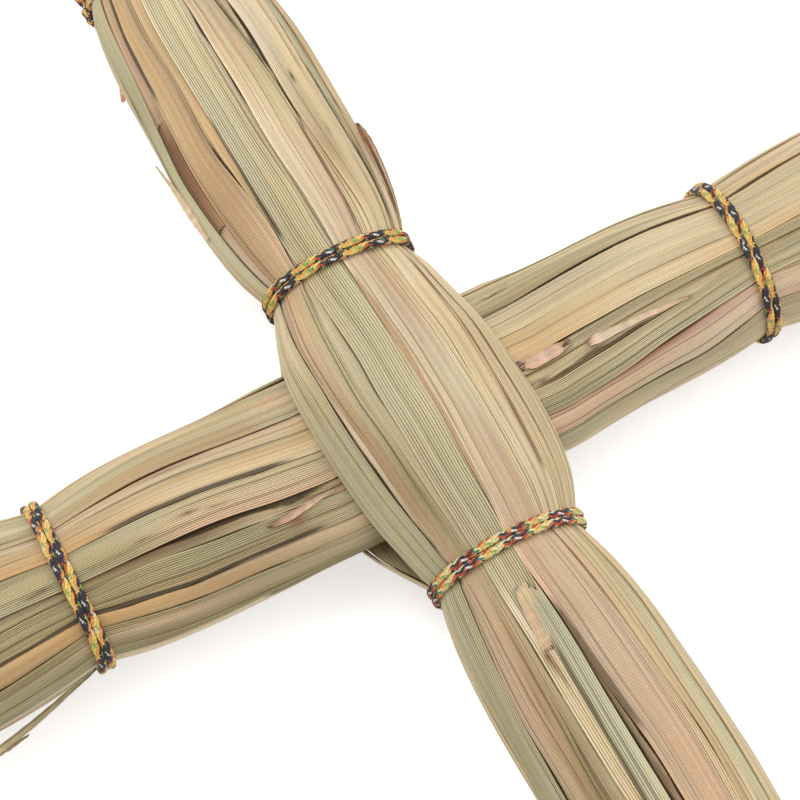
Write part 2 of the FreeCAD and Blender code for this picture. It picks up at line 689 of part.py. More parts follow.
for name, shape in pieces.items():
    shape.translate(Vector(0, 0, -REST_Z))
    shape.exportStep("parts/%s.step" % name)
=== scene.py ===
import bpy
import math
import numpy as np
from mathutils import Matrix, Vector


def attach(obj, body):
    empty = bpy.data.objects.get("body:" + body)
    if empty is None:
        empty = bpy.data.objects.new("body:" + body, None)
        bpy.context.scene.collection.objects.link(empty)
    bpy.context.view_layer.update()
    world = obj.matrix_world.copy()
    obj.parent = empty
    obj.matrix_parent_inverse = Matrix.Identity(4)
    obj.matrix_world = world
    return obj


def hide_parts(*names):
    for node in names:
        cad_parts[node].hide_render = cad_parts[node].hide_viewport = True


# Cross of two bundles of dried ribbed leaves, tied with double turns of braided cord.
# The bundle shapes repeat the named sizes of the solid model, in mm; meshes are made in metres.
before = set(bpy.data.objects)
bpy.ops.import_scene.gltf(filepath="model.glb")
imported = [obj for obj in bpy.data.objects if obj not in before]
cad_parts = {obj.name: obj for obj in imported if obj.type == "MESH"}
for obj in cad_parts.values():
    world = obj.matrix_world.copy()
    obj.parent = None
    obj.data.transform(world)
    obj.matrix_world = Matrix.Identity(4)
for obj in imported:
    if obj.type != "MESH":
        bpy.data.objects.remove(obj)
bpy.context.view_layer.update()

MM = 0.001

# Upright bundle
UPRIGHT_END = 215.0
MIDDLE_TIE_AT = 51.0
OUTER_TIE_AT = 178.0
UPRIGHT_TIE_HALF_WIDTH = 21.7
UPRIGHT_TIE_HALF_HEIGHT = 13.0
UPPER_ARM_HALF_WIDTH = 29.2
LOWER_ARM_HALF_WIDTH = 27.5
UPRIGHT_ARM_HALF_HEIGHT = 17.5
UPRIGHT_END_HALF_WIDTH = 29.0
UPRIGHT_END_HALF_HEIGHT = 16.5
CROSSING_HALF_WIDTH = 30.0
REAR_EXTRA_WIDTH = 1.0
FRONT_HALF_THICKNESS = 12.6
REAR_HALF_THICKNESS = 8.6

# How far the bundles stray sideways from straight lines
FRONT_CROSSING_SHIFT = -3.4
REAR_CROSSING_SHIFT = -4.2
UPPER_ARM_BOW = 1.5
UPPER_TIE_BOW = 0.3
UPPER_BOW_FROM = 76.4
UPPER_BOW_TOP = 132.3
LOWER_TIE_BOW = -0.9
LOWER_BOW_OUTWARD = 44.5
LOWER_BOW_INWARD = 14.0
CROSS_AXIS = -0.55
LEFT_ARM_BOW = -0.5
LEFT_BOW_REACH = 24.0
RIGHT_ARM_BOW = 0.95
RIGHT_BOW_REACH = 50.1

# Cross-piece bundle
CROSS_END = 158.0
LEFT_TIE_AT = 111.0
RIGHT_TIE_AT = 104.5
RIGHT_TIE_LEAN = 1.7
CROSS_TIE_HALF_WIDTH = 23.9
CROSS_TIE_HALF_HEIGHT = 16.6
LEFT_ARM_HALF_WIDTH = 28.0
RIGHT_ARM_HALF_WIDTH = 26.5
CROSS_ARM_HALF_HEIGHT = 19.4
CROSS_END_HALF_WIDTH = 28.5
CROSS_END_HALF_HEIGHT = 19.0
PRESSED_HALF_WIDTH = 28.9
PRESSED_HALF_HEIGHT = 13.0
PRESSED_TO = 35.9

# The front half of the upright is lifted over an arch, and the whole lies on a plane below its axis
ARCH_HALF_WIDTH = 29.5
ARCH_HALF_HEIGHT = 13.4
LIFT_FROM = 48.5
LIFT_TOUCH = ARCH_HALF_WIDTH ** 2 / LIFT_FROM
REST_Z = -21.4

# Leaves and cord
LEAF_THICKNESS = 0.45
PRESSED_REACH = 14.0
END_UNEVEN = 3.0
FRONT_STEP = 3.6
REAR_STEP = 5.0
UNDER_POINTS = 7
EDGE_LIFT = 0.10
EDGE_WAVE = 0.24
EDGE_LAP = 2.6
TUCKED_UNDER = 2.4
TUCKED_DEPTH = 0.95
TUCKED_LAP = 2.8
RUN_OUT = 7.0
FOLD_HEIGHTS = (0.12, 0.34)
FOLD_WIDTH = 2.6
FOLD_LINE = 0.17
CORD_RADIUS = 1.25


def blend(low, high, t, power):
    t = np.clip(t, 0.0, 1.0)
    return low + (high - low) * (1 - (1 - t) ** power)


def hump(t):
    return 0.5 + 0.5 * np.cos(np.pi * np.clip(t, 0.0, 1.0))


def rise(t):
    return 1 - hump(t)


def smooth(t):
    t = np.clip(t, 0.0, 1.0)
    return t * t * (3 - 2 * t)


def arm_profile(s, crossing, tie, arm, end, crossing_power, arm_power):
    s = np.abs(s)
    half = (OUTER_TIE_AT - MIDDLE_TIE_AT) / 2
    inside = blend(tie, crossing, (MIDDLE_TIE_AT - s) / MIDDLE_TIE_AT, crossing_power)
    between = blend(tie, arm, np.minimum(s - MIDDLE_TIE_AT, OUTER_TIE_AT - s) / half, arm_power)
    beyond = blend(tie, end, (s - OUTER_TIE_AT) / (UPRIGHT_END - OUTER_TIE_AT), 1.6)
    return np.select([s <= MIDDLE_TIE_AT, s <= OUTER_TIE_AT], [inside, between], beyond)


class Upright:
    name = "upright"
    end = UPRIGHT_END
    ties = (-OUTER_TIE_AT, -MIDDLE_TIE_AT, MIDDLE_TIE_AT, OUTER_TIE_AT)

    def width(self, s, rear):
        arm = np.where(s > 0, UPPER_ARM_HALF_WIDTH, LOWER_ARM_HALF_WIDTH)
        power = np.where(s > 0, 2.2, 3.2)
        crossing = CROSSING_HALF_WIDTH + (REAR_EXTRA_WIDTH if rear else 0.0)
        return arm_profile(s, crossing, UPRIGHT_TIE_HALF_WIDTH, arm, UPRIGHT_END_HALF_WIDTH, power, 3.4)

    def height(self, s, rear):
        crossing = REAR_HALF_THICKNESS if rear else FRONT_HALF_THICKNESS
        tie = UPRIGHT_TIE_HALF_HEIGHT
        t = 1 - np.clip(np.abs(s) / MIDDLE_TIE_AT, 0, 1)
        beyond = arm_profile(s, crossing, tie, UPRIGHT_ARM_HALF_HEIGHT, UPRIGHT_END_HALF_HEIGHT, 2.4, 2.4)
        return np.where(np.abs(s) <= MIDDLE_TIE_AT, tie + (crossing - tie) * t ** 0.8, beyond)

    def bow(self, s):
        # the upper arm bows to the right and the lower tie sits a little to the left
        out = UPPER_ARM_BOW * rise((s - UPPER_BOW_FROM) / (UPPER_BOW_TOP - UPPER_BOW_FROM))
        back = UPPER_ARM_BOW - UPPER_TIE_BOW
        back = back * rise((s - UPPER_BOW_TOP) / (OUTER_TIE_AT - UPPER_BOW_TOP))
        below = -s - MIDDLE_TIE_AT
        inward = hump(-below / LOWER_BOW_INWARD)
        lower = LOWER_TIE_BOW * np.where(below >= 0, hump(below / LOWER_BOW_OUTWARD), inward)
        return np.where(s >= 0, out - back, lower)

    def shift(self, s, rear):
        t = np.abs(s) / MIDDLE_TIE_AT
        if rear:
            return REAR_CROSSING_SHIFT * hump(np.where(s > 0, t, t ** 2.2)) + self.bow(s)
        return FRONT_CROSSING_SHIFT * hump(np.where(s > 0, t ** 1.8, t)) + self.bow(s)

    def lift(self, s):
        # underside of the front half: straight from the tie, then over the round cross-piece
        s = np.abs(s - CROSS_AXIS)
        touch = ARCH_HALF_HEIGHT * math.sqrt(1 - (LIFT_TOUCH / ARCH_HALF_WIDTH) ** 2)
        slope = touch * (LIFT_FROM - s) / (LIFT_FROM - LIFT_TOUCH)
        arch = ARCH_HALF_HEIGHT * np.sqrt(np.clip(1 - (s / ARCH_HALF_WIDTH) ** 2, 0, 1))
        return np.where(s >= LIFT_FROM, 0.0, np.where(s > LIFT_TOUCH, slope, arch))

    def place(self, lateral, s, z):
        return np.stack([lateral, s, z], -1)


class CrossPiece:
    name = "crosspiece"
    end = CROSS_END
    ties = (-LEFT_TIE_AT, RIGHT_TIE_AT)

    def profile(self, s, pressed, arm, tie, end, fullest, powers):
        # pressed flat under the crossing, fullest at a share of the way to the tie
        tie_at = np.where(s > 0, RIGHT_TIE_AT, LEFT_TIE_AT)
        s = np.abs(s)
        middle = PRESSED_TO + (tie_at - PRESSED_TO) * fullest
        grow = blend(pressed, arm, (s - PRESSED_TO) / (middle - PRESSED_TO), powers[0])
        pinch = blend(tie, arm, (tie_at - s) / (tie_at - middle), powers[1])
        beyond = blend(tie, end, (s - tie_at) / (CROSS_END - tie_at), powers[2])
        places = [s <= PRESSED_TO, s <= middle, s <= tie_at]
        return np.select(places, [pressed + 0 * s, grow, pinch], beyond)

    def width(self, s, rear):
        arm = np.where(s > 0, RIGHT_ARM_HALF_WIDTH, LEFT_ARM_HALF_WIDTH)
        return self.profile(s, PRESSED_HALF_WIDTH, arm, CROSS_TIE_HALF_WIDTH, CROSS_END_HALF_WIDTH,
                            0.45, (2.0, 2.4, 2.2))

    def height(self, s, rear):
        return self.profile(s, PRESSED_HALF_HEIGHT, CROSS_ARM_HALF_HEIGHT, CROSS_TIE_HALF_HEIGHT,
                            CROSS_END_HALF_HEIGHT, 0.5, (1.8, 2.2, 2.0))

    def shift(self, s, rear):
        left = LEFT_ARM_BOW * rise((-s - PRESSED_TO) / LEFT_BOW_REACH)
        right = RIGHT_ARM_BOW * rise((s - PRESSED_TO) / RIGHT_BOW_REACH)
        return CROSS_AXIS + left + right

    def lift(self, s):
        return 0.0 * s

    def place(self, lateral, s, z):
        return np.stack([s, lateral, z], -1)


UPRIGHT = Upright()
CROSSPIECE = CrossPiece()


def surface(bundle, s, angle, out, rear=False):
    # angle 0 is the front, 90 degrees the +lateral side; out is the height over the envelope
    s, angle, out = (np.array(v, float) for v in np.broadcast_arrays(s, angle, out))
    a = bundle.width(s, rear)
    h = bundle.height(s, rear)
    nx = np.sin(angle) / a
    nz = np.cos(angle) / h
    size = np.hypot(nx, nz)
    x = a * np.sin(angle) + out * nx / size + bundle.shift(s, rear)
    z = h * np.cos(angle) + out * nz / size + (-1 if rear else 1) * bundle.lift(s)
    z = np.maximum(z, REST_Z + np.maximum(-out, 0.0))
    return bundle.place(x, s, z - REST_Z)


ANGLES = np.radians(np.linspace(-270, 270, 541))


def arc_tables(bundle, stations, rear):
    # arc length along the section at each station, for spacing the ribs evenly
    a = bundle.width(stations, rear)[:, None]
    h = bundle.height(stations, rear)[:, None]
    rate = np.hypot(a * np.cos(ANGLES), h * np.sin(ANGLES))
    steps = (rate[:, 1:] + rate[:, :-1]) / 2 * (ANGLES[1] - ANGLES[0])
    return np.concatenate([np.zeros((len(stations), 1)), np.cumsum(steps, 1)], 1)


def tie_fade(bundle, s):
    # 0 under a tie and 1 away from it: the leaves are pressed flat there
    away = np.min([np.abs(s - at) for at in bundle.ties], axis=0)
    return smooth(away / PRESSED_REACH)


class Wander:
    """A smooth random line along s, about -1 to 1."""

    def __init__(self, rng, wavelength):
        self.rates = 2 * np.pi / (wavelength * rng.uniform(0.6, 1.9, 4))
        self.phases = rng.uniform(0, 2 * np.pi, 4)

    def __call__(self, s):
        return sum(np.sin(s * r + p) for r, p in zip(self.rates, self.phases)) / 2.6


# Colours as seen in daylight
def srgb(r, g, b):
    c = np.array([r, g, b]) / 255.0
    return np.where(c <= 0.04045, c / 12.92, ((c + 0.055) / 1.055) ** 2.4)


SAGE = srgb(190, 180, 146)
PALE_SAGE = srgb(206, 197, 163)
OLIVE = srgb(166, 155, 118)
BLUE_SAGE = srgb(184, 181, 154)
STRAW = srgb(212, 194, 158)
PALE = srgb(224, 207, 178)
ROSE = srgb(208, 181, 151)
PINK = srgb(214, 182, 156)
GOLD = srgb(208, 180, 136)
AMBER = srgb(201, 166, 118)
TAN = srgb(184, 157, 122)
BROWN = srgb(128, 94, 68)
CHESTNUT = srgb(134, 100, 74)
RUST = srgb(152, 115, 84)
RUSSET = srgb(128, 98, 70)
REDDISH = srgb(160, 104, 82)
BUTTER = srgb(232, 206, 130)
DARK = srgb(92, 72, 50)
SHADE = srgb(74, 62, 44)
GREEN_SHADE = srgb(84, 72, 50)
# painted shadow: the wedge beside the short leaf and the dark slots between leaves
SHADOW_WEDGE = srgb(98, 84, 60)
SHADOW_WEDGE_EDGE = srgb(98, 80, 56)
SHORT_SHADE = srgb(104, 92, 66)
PINK_SKIN = srgb(222, 192, 170)
PALE_SKIN = srgb(232, 212, 188)
WORN_SKIN = srgb(210, 184, 154)

# Braid
YELLOW = srgb(246, 216, 120)
PALE_YELLOW = srgb(238, 226, 168)
ORANGE = srgb(242, 172, 92)
RED = srgb(206, 88, 60)
GREEN = srgb(158, 188, 100)
TEAL = srgb(70, 138, 120)
BLACK = srgb(42, 43, 52)
WHITE = srgb(246, 242, 234)
SALMON = srgb(240, 164, 138)


def colour_run(stops, s, share=0.0):
    # stops: place along the leaf, colour at its left edge, colour at its right edge
    at = [p[0] for p in stops]
    left, right = (np.stack([np.interp(s, at, [p[side][k] for p in stops]) for k in range(3)], -1)
                   for side in (1, -1))
    return left + (right - left) * smooth(np.asarray(share))[..., None]


class Graph:
    """Builds the nodes of a material or a world with few words."""

    def __init__(self, owner, shader="Principled BSDF"):
        owner.use_nodes = True
        self.owner = owner
        self.tree = owner.node_tree
        self.shader = self.tree.nodes[shader]

    def plug(self, socket, value):
        if isinstance(value, bpy.types.NodeSocket):
            self.tree.links.new(value, socket)
        else:
            socket.default_value = value

    def node(self, kind, **settings):
        made = self.tree.nodes.new(kind)
        for key, value in settings.items():
            setattr(made, key, value)
        return made

    def fill(self, made, *values):
        for socket, value in zip(made.inputs, values):
            self.plug(socket, value)
        return made.outputs[0]

    def put(self, made, **values):
        # spaces in a socket's name are written as underscores
        for name, value in values.items():
            self.plug(made.inputs[name.replace("_", " ")], value)
        return made.outputs

    def coat(self, **values):
        self.put(self.shader, **values)

    def attributes(self):
        # tint is the colour; run holds three numbers that the textures follow
        tint = self.node("ShaderNodeAttribute", attribute_name="tint").outputs["Color"]
        run = self.node("ShaderNodeAttribute", attribute_name="run").outputs["Vector"]
        return tint, self.put(self.node("ShaderNodeSeparateXYZ"), Vector=run)

    def math(self, operation, a, b=0.0, clamp=False):
        return self.fill(self.node("ShaderNodeMath", operation=operation, use_clamp=clamp), a, b)

    def times(self, a, b, clamp=False):
        return self.math("MULTIPLY", a, b, clamp)

    def plus(self, a, b):
        return self.math("ADD", a, b)

    def span(self, value, low, high, to_low, to_high):
        return self.fill(self.node("ShaderNodeMapRange"), value, low, high, to_low, to_high)

    def grain(self, run, across, along, detail=2.0, rough=0.5):
        # noise stretched by two rates, and different for each leaf or strand
        place = self.fill(self.node("ShaderNodeCombineXYZ"), self.times(run[0], across),
                          self.times(run[1], along), run[2])
        made = self.node("ShaderNodeTexNoise")
        return self.put(made, Vector=place, Scale=1.0, Detail=detail, Roughness=rough)["Fac"]

    def scaled(self, colour, by):
        return self.put(self.node("ShaderNodeVectorMath", operation="SCALE"), Vector=colour, Scale=by)[0]

    def mixed(self, factor, a, b, kind="MIX"):
        made = self.node("ShaderNodeMix", data_type="RGBA", blend_type=kind)
        return self.put(made, Factor=factor, A=a, B=b)["Result"]

    def tinted(self, factor, colour, multiplier):
        return self.mixed(factor, colour, self.mixed(1.0, colour, (*multiplier, 1.0), "MULTIPLY"))

    def bump(self, height, distance, strength):
        made = self.node("ShaderNodeBump")
        self.coat(Normal=self.put(made, Strength=strength, Distance=distance, Height=height)["Normal"])


VALLEY_STAIN_AND_SHADE = (1.0, 0.95, 0.84)
CLOUD_STAIN = (1.04, 0.97, 0.90)
BAND_STAIN = (1.0, 0.90, 0.76)


def leaf_material(name, stripe, streak, fleck, rough):
    # run: x counts the ribs across the leaf, y is the mm along it, z tells the leaves apart
    g = Graph(bpy.data.materials.new(name))
    tint, run = g.attributes()
    rib, along, leaf = run
    ridge = g.math("ABSOLUTE", g.math("SINE", g.times(rib, math.pi)))
    deep = g.grain((g.math("ROUND", rib), along, leaf), 0.73, 0.012, 1.0)
    valley = g.math("POWER", g.math("SUBTRACT", 1.0, ridge), 1.15)
    valley = g.times(valley, g.span(deep, 0.35, 0.65, 0.6, 1.3))
    bands = g.grain(run, 0.45, 0.005, 2.0, 0.55)
    fibres = g.grain(run, 3.1, 0.06)
    cells = g.grain(run, 1.2, 1.7, 1.0)
    # the valleys between the ribs are darkened, partly their own colour and partly painted shade
    light = g.math("SUBTRACT", 1.0 + stripe * 0.24, g.times(valley, stripe))
    # a thin painted highlight along the rib tops
    light = g.plus(light, g.times(g.math("POWER", ridge, 9.0), stripe * 0.16))
    light = g.plus(light, g.span(bands, 0.3, 0.7, -streak, streak))
    light = g.plus(light, g.span(fibres, 0.3, 0.7, -0.06, 0.06))
    light = g.plus(light, g.span(cells, 0.35, 0.65, -0.04, 0.04))
    # the valleys turn warmer and darker, partly their own colour and partly painted shade
    colour = g.tinted(g.times(valley, 0.9, True), g.scaled(tint, light), VALLEY_STAIN_AND_SHADE)
    colour = g.tinted(g.span(g.grain(run, 0.10, 0.02), 0.38, 0.66, 0.0, 1.0), colour, CLOUD_STAIN)
    colour = g.tinted(g.span(g.grain(run, 0.62, 0.004, 1.0), 0.56, 0.72, 0.0, 0.6), colour, BAND_STAIN)
    spots = g.grain(run, 0.8, 0.28, 2.0, 0.7)
    colour = g.mixed(g.span(spots, 0.70, 0.80, 0.0, fleck), colour, (*BROWN.tolist(), 1.0))
    g.coat(Base_Color=colour, Specular_IOR_Level=0.35,
           Roughness=g.span(bands, 0.3, 0.7, rough + 0.1, rough - 0.06))
    g.bump(g.plus(g.times(fibres, 0.7), g.times(cells, 0.45)), 0.00008, 0.8)
    return g.owner


def cord_material():
    # run: x is the angle round the yarn, y the mm along it, z tells the yarns apart
    g = Graph(bpy.data.materials.new("braided_cord"))
    tint, run = g.attributes()
    ply = g.math("SINE", g.plus(g.times(run[1], 5.5), run[0]))
    fuzz = g.grain(run, 2.0, 2.4)
    light = g.plus(g.span(ply, -1.0, 1.0, 0.86, 1.06), g.span(fuzz, 0.3, 0.7, -0.12, 0.12))
    g.coat(Base_Color=g.scaled(tint, light), Roughness=g.span(fuzz, 0.3, 0.7, 0.5, 0.68),
             Specular_IOR_Level=0.4, Sheen_Weight=0.25, Sheen_Roughness=0.4)
    g.bump(g.plus(ply, fuzz), 0.0001, 0.6)
    return g.owner


# For each kind of leaf: strength of its dark valleys, which are partly painted shade and also set the
# painted highlight on the ribs, streaks and flecks, and its roughness
LEAF_KINDS = {
    "sage_leaf": (0.78, 0.12, 0.4, 0.55),
    "straw_leaf": (0.62, 0.12, 0.3, 0.55),
    "rose_leaf": (0.56, 0.11, 0.35, 0.55),
    "golden_leaf": (0.40, 0.12, 0.25, 0.5),
    "brown_leaf": (0.40, 0.20, 0.5, 0.62),
    "inner_leaf": (0.36, 0.26, 0.5, 0.65),
}
LEAF = {name: leaf_material(name, *kind) for name, kind in LEAF_KINDS.items()}
CORD = cord_material()


def make_piece(name, points, faces, tint, run, material, nodes=(), crease=48):
    mesh = bpy.data.meshes.new(name)
    mesh.from_pydata((points * MM).tolist(), [], faces)
    colours = np.ones((len(points), 4), np.float32)
    colours[:, :3] = np.clip(tint, 0.0, 1.0)
    mesh.attributes.new("tint", "FLOAT_COLOR", "POINT").data.foreach_set("color", colours.ravel())
    run = np.asarray(run, np.float32).ravel()
    mesh.attributes.new("run", "FLOAT_VECTOR", "POINT").data.foreach_set("vector", run)
    mesh.shade_smooth()
    mesh.set_sharp_from_angle(angle=math.radians(crease))
    mesh.materials.append(material)
    piece = bpy.data.objects.new(name, mesh)
    bpy.context.scene.collection.objects.link(piece)
    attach(piece, "root")
    if nodes:
        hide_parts(*nodes)
    return piece


def make_leaf(name, slot, ring, tint, run, flip, nodes):
    rows, count = ring.shape[:2]
    return make_piece(name, ring.reshape(-1, 3), ring_faces(rows, count, flip), tint.reshape(-1, 3),
                      run.reshape(-1, 3), LEAF[slot], nodes)


def ring_faces(rows, ring, flip, base=0):
    # quads between neighbouring rings of points, and a cap on each end
    start = np.arange(rows - 1)[:, None] * ring + base
    a = (start + np.arange(ring)[None, :]).ravel()
    b = (start + (np.arange(ring)[None, :] + 1) % ring).ravel()
    quads = np.stack([a, b, b + ring, a + ring], 1)
    first = list(range(base, base + ring))
    last = [base + (rows - 1) * ring + k for k in range(ring)]
    if flip:
        return quads[:, ::-1].tolist() + [first, last[::-1]]
    return quads.tolist() + [first[::-1], last]


def shares(bundle, stations, row):
    # border angle from shares of the half width in percent; borders run straight between the
    # stations, and nearer the side they follow the outline
    stations = np.array(stations, float)
    value = np.array(row) / 100.0
    lateral = value * bundle.width(stations, False) + bundle.shift(stations, False)

    def angle(s):
        total = 0.0
        for d in (-4.0, 0.0, 4.0):
            q = s + d
            share = np.interp(q, stations, value)
            straight = (np.interp(q, stations, lateral) - bundle.shift(q, False)) / bundle.width(q, False)
            total = total + share + (straight - share) * (1 - share ** 2)
        return np.arcsin(np.clip(total / 3, -1, 1))
    return angle


def fixed(degrees):
    return lambda s: np.full(np.shape(s), math.radians(degrees))


def lapped(rng, over, dist, s, fade):
    # an edge that lies on top is raised a little, one that lies below dips under its neighbour
    raised = EDGE_LIFT + EDGE_WAVE * np.clip(0.5 + Wander(rng, 80.0)(s), 0, 1.4)[:, None] * fade
    if over > 0:
        return raised * smooth(1 - (dist + 1.0) / EDGE_LAP)
    if over < 0:
        return -(TUCKED_DEPTH + 0.15 * fade) * smooth((0.9 - dist) / TUCKED_LAP)
    return 0.0


class Leaf:
    """One ribbed leaf along a bundle, between two border lines."""

    def __init__(self, bundle, left, right, seed, rear=False, span=None):
        self.bundle = bundle
        self.left = left
        self.right = right
        self.rear = rear
        self.rng = np.random.default_rng(seed)
        self.seed = seed
        if span is None:
            low = -bundle.end + self.rng.uniform(0.0, END_UNEVEN)
            span = (low, bundle.end - self.rng.uniform(0.0, END_UNEVEN))
        self.span = span
        # depth at the left edge, the middle and the right edge
        self.level = (0.0, 0.0, 0.0)
        # for each edge: 1 lies on its neighbour, -1 lies under it, 0 has none
        self.over = (1, 1)
        self.reach = 0.8
        self.ribs = 0.09
        self.pitch = 0.72
        self.fold_every = 4.2
        self.crown = self.rng.uniform(-0.1, 0.25)
        self.colours = [(0, STRAW)]
        self.spots = []
        self.grooves = []
        # for each end, how far it is torn into teeth; for each free edge, how far it reaches round
        self.jag = (0.0, 0.0)
        self.curl = (0.0, 0.0)
        self.lift = None

    def growth(self, side, s):
        # how far the leaf reaches past its border
        ragged = Wander(self.rng, 60.0)(s)
        if self.over[side] > 0:
            return self.reach * (0.8 + 0.5 * ragged)
        if self.over[side] < 0:
            return np.full(len(s), TUCKED_UNDER)
        clear = np.abs(s) > LIFT_FROM + 2 if self.bundle is UPRIGHT else 1.0
        return self.curl[side] * clear + 0 * s

    def geometry(self):
        rng = self.rng
        bundle = self.bundle
        low, high = self.span
        step = REAR_STEP if self.rear else FRONT_STEP
        s = np.linspace(low, high, max(int(round((high - low) / step)), 2) + 1)
        rows = range(len(s))
        arcs = arc_tables(bundle, s, self.rear)
        left, right = (np.array([np.interp(border[i], ANGLES, arcs[i]) for i in rows])
                       for border in (self.left(s), self.right(s)))
        fade = tie_fade(bundle, s)[:, None]
        start = left - self.growth(0, s)
        stop = right + self.growth(1, s)
        ribs = max(int(round(float(np.max(stop - start)) / self.pitch)), 2)
        columns = ribs * (2 if self.rear else 3) + 1
        u = np.linspace(0, 1, columns)
        arc = start[:, None] + (stop - start)[:, None] * u[None, :]
        angle = np.stack([np.interp(arc[i], arcs[i], ANGLES) for i in rows])
        width = np.maximum(right - left, 1.0)[:, None]
        share = np.clip((arc - left[:, None]) / width, 0, 1)
        edges = (arc - left[:, None], right[:, None] - arc)
        l0, l1, l2 = self.level
        level = np.where(share < 0.5, l0 + (l1 - l0) * smooth(share * 2),
                         l1 + (l2 - l1) * smooth(share * 2 - 1))
        crown = self.crown * np.minimum(width / 8.0, 1.0) * (0.3 + 0.7 * fade)
        out = crown * 4 * share * (1 - share) - level
        tilt = Wander(rng, 90.0)(s)[:, None] * 0.25 * (share - 0.5)
        out += (tilt + Wander(rng, 75.0)(s)[:, None] * 0.16) * fade
        for over, dist in zip(self.over, edges):
            out += lapped(rng, over, dist, s, fade)
        out, lines = self.fold(out, s, arc, u, stop - start, fade)
        out, shade_cuts = self.cut(out, s, edges)
        if self.lift is not None:
            out += self.lift(s[:, None] + 0 * arc, u[None, :] + 0 * arc)
        phase = u * ribs
        ridge = 2 * np.abs(np.sin(np.pi * phase)) ** 0.8 - 1
        ridge = ridge * (1 + 0.35 * Wander(rng, 3.0)(phase))
        out += self.ribs * ridge[None, :] * smooth(1 + np.minimum(*edges) / 2.0)
        s2 = np.repeat(s[:, None], columns, 1)
        for end, amount in zip(self.span, self.jag):
            if amount:
                tooth = rng.uniform(-1, 1, ribs * 2 + 1)
                line = np.interp(u, np.linspace(0, 1, len(tooth)), tooth) * amount
                s2 = s2 + line[None, :] * np.clip(1 - np.abs(s2 - end) / (abs(amount) * 2.5 + 2), 0, 1)
        low = np.linspace(columns - 1, 0, UNDER_POINTS).round().astype(int)
        top = surface(bundle, s2, angle, out, self.rear)
        bottom = surface(bundle, s2[:, low], angle[:, low], out[:, low] - LEAF_THICKNESS, self.rear)
        tint = self.colour(s2, u, share, edges, lines)
        # lay the painted shade of the grooves over the colour
        for mask, colour in shade_cuts:
            tint = tint + (np.asarray(colour) - tint) * (0.9 * mask)[..., None]
        run = np.stack([np.repeat(phase[None, :], len(s), 0), s2, np.full(s2.shape, self.seed * 3.7)], -1)
        return (np.concatenate([top, bottom], 1), np.concatenate([tint, tint[:, low] * 0.9], 1),
                np.concatenate([run, run[:, low]], 1))

    def cut(self, out, s, edges):
        # grooves beside the edges, where the leaf dips and its colour is painted shade
        shade_cuts = []
        for side, low, high, wide_low, wide_high, deep, colour in self.grooves:
            wide = np.interp(s, [low, high], [wide_low, wide_high])[:, None]
            wide = wide * (1 + 0.3 * Wander(self.rng, 16.0)(s))[:, None]
            inside = (smooth((s - low) / RUN_OUT) * smooth((high - s) / RUN_OUT))[:, None]
            mask = inside * smooth((wide - edges[side]) / 0.5 + 0.5)
            out = out - deep * mask
            shade_cuts.append((mask, colour))
        return out, shade_cuts

    def fold(self, out, s, arc, u, width, fade):
        # blades folded over each other: small steps along the leaf, with a line of painted shade below each
        rng = self.rng
        lines = np.zeros(arc.shape)
        self.tones = np.zeros(arc.shape + (3,))
        count = int(float(np.mean(width)) / self.fold_every)
        across = u[None, :] * width[:, None]
        for k in range(count):
            at = (k + 0.5 + rng.uniform(-0.35, 0.35)) / count
            lean = rng.uniform(-0.14, 0.14) * s / 100.0
            line = (at + lean + 0.02 * Wander(rng, 120.0)(s))[:, None] * width[:, None]
            way = rng.choice([-1, 1])
            shown = np.clip(0.7 + Wander(rng, 90.0)(s), 0.0, 1.3)[:, None]
            high = rng.uniform(*FOLD_HEIGHTS) * shown * (0.4 + 0.6 * fade)
            x = (across - line) * way
            out = out + high * smooth((x + 0.10) / 0.24) * (1 - smooth((x - 0.5) / FOLD_WIDTH))
            near = np.exp(-((x + 0.16) / FOLD_LINE) ** 2)
            lines = np.maximum(lines, near * np.clip(high / 0.2, 0.0, 1.0))
            shift = rng.uniform(-0.07, 0.07) + rng.uniform(-0.03, 0.03, 3) * np.array([1.0, 0.3, -1.0])
            self.tones += smooth((across - line) / 0.5)[..., None] * shown[..., None] * shift
        return out, lines

    def colour(self, s2, u, share, edges, lines):
        slow = Wander(self.rng, 110.0)(s2 + 40 * u[None, :]) * 0.04
        slow = slow + Wander(self.rng, 0.35)(u[None, :] + 0.0006 * s2) * 0.04
        # painted shade along the fold lines
        light = (1 + slow) * (1 - 0.62 * lines)
        # painted highlight along an edge that lies on top, and painted shade where an edge goes under its
        # neighbour
        for over, dist in zip(self.over, edges):
            if over > 0:
                light = light * (1 + 0.12 * smooth(1 - np.abs(dist + 0.7) / 0.5))
            elif over < 0:
                light = light * (1 - 0.72 * smooth((0.35 - dist) / 0.9))
        tint = colour_run(self.colours, s2, share)
        tint = tint * (1 + np.clip(self.tones, -0.16, 0.16)) * light[..., None]
        for at, where, long, wide, colour, strength in self.spots:
            near = np.exp(-((s2 - at) / long) ** 2 - ((share - where) / wide) ** 2)
            tint = tint + (np.asarray(colour) - tint) * np.clip(near * strength, 0, 1)[..., None]
        return tint

    def build(self, name, slot, nodes=()):
        ring, tint, run = self.geometry()
        return make_leaf(name, slot, ring, tint, run, self.bundle is CROSSPIECE, nodes)


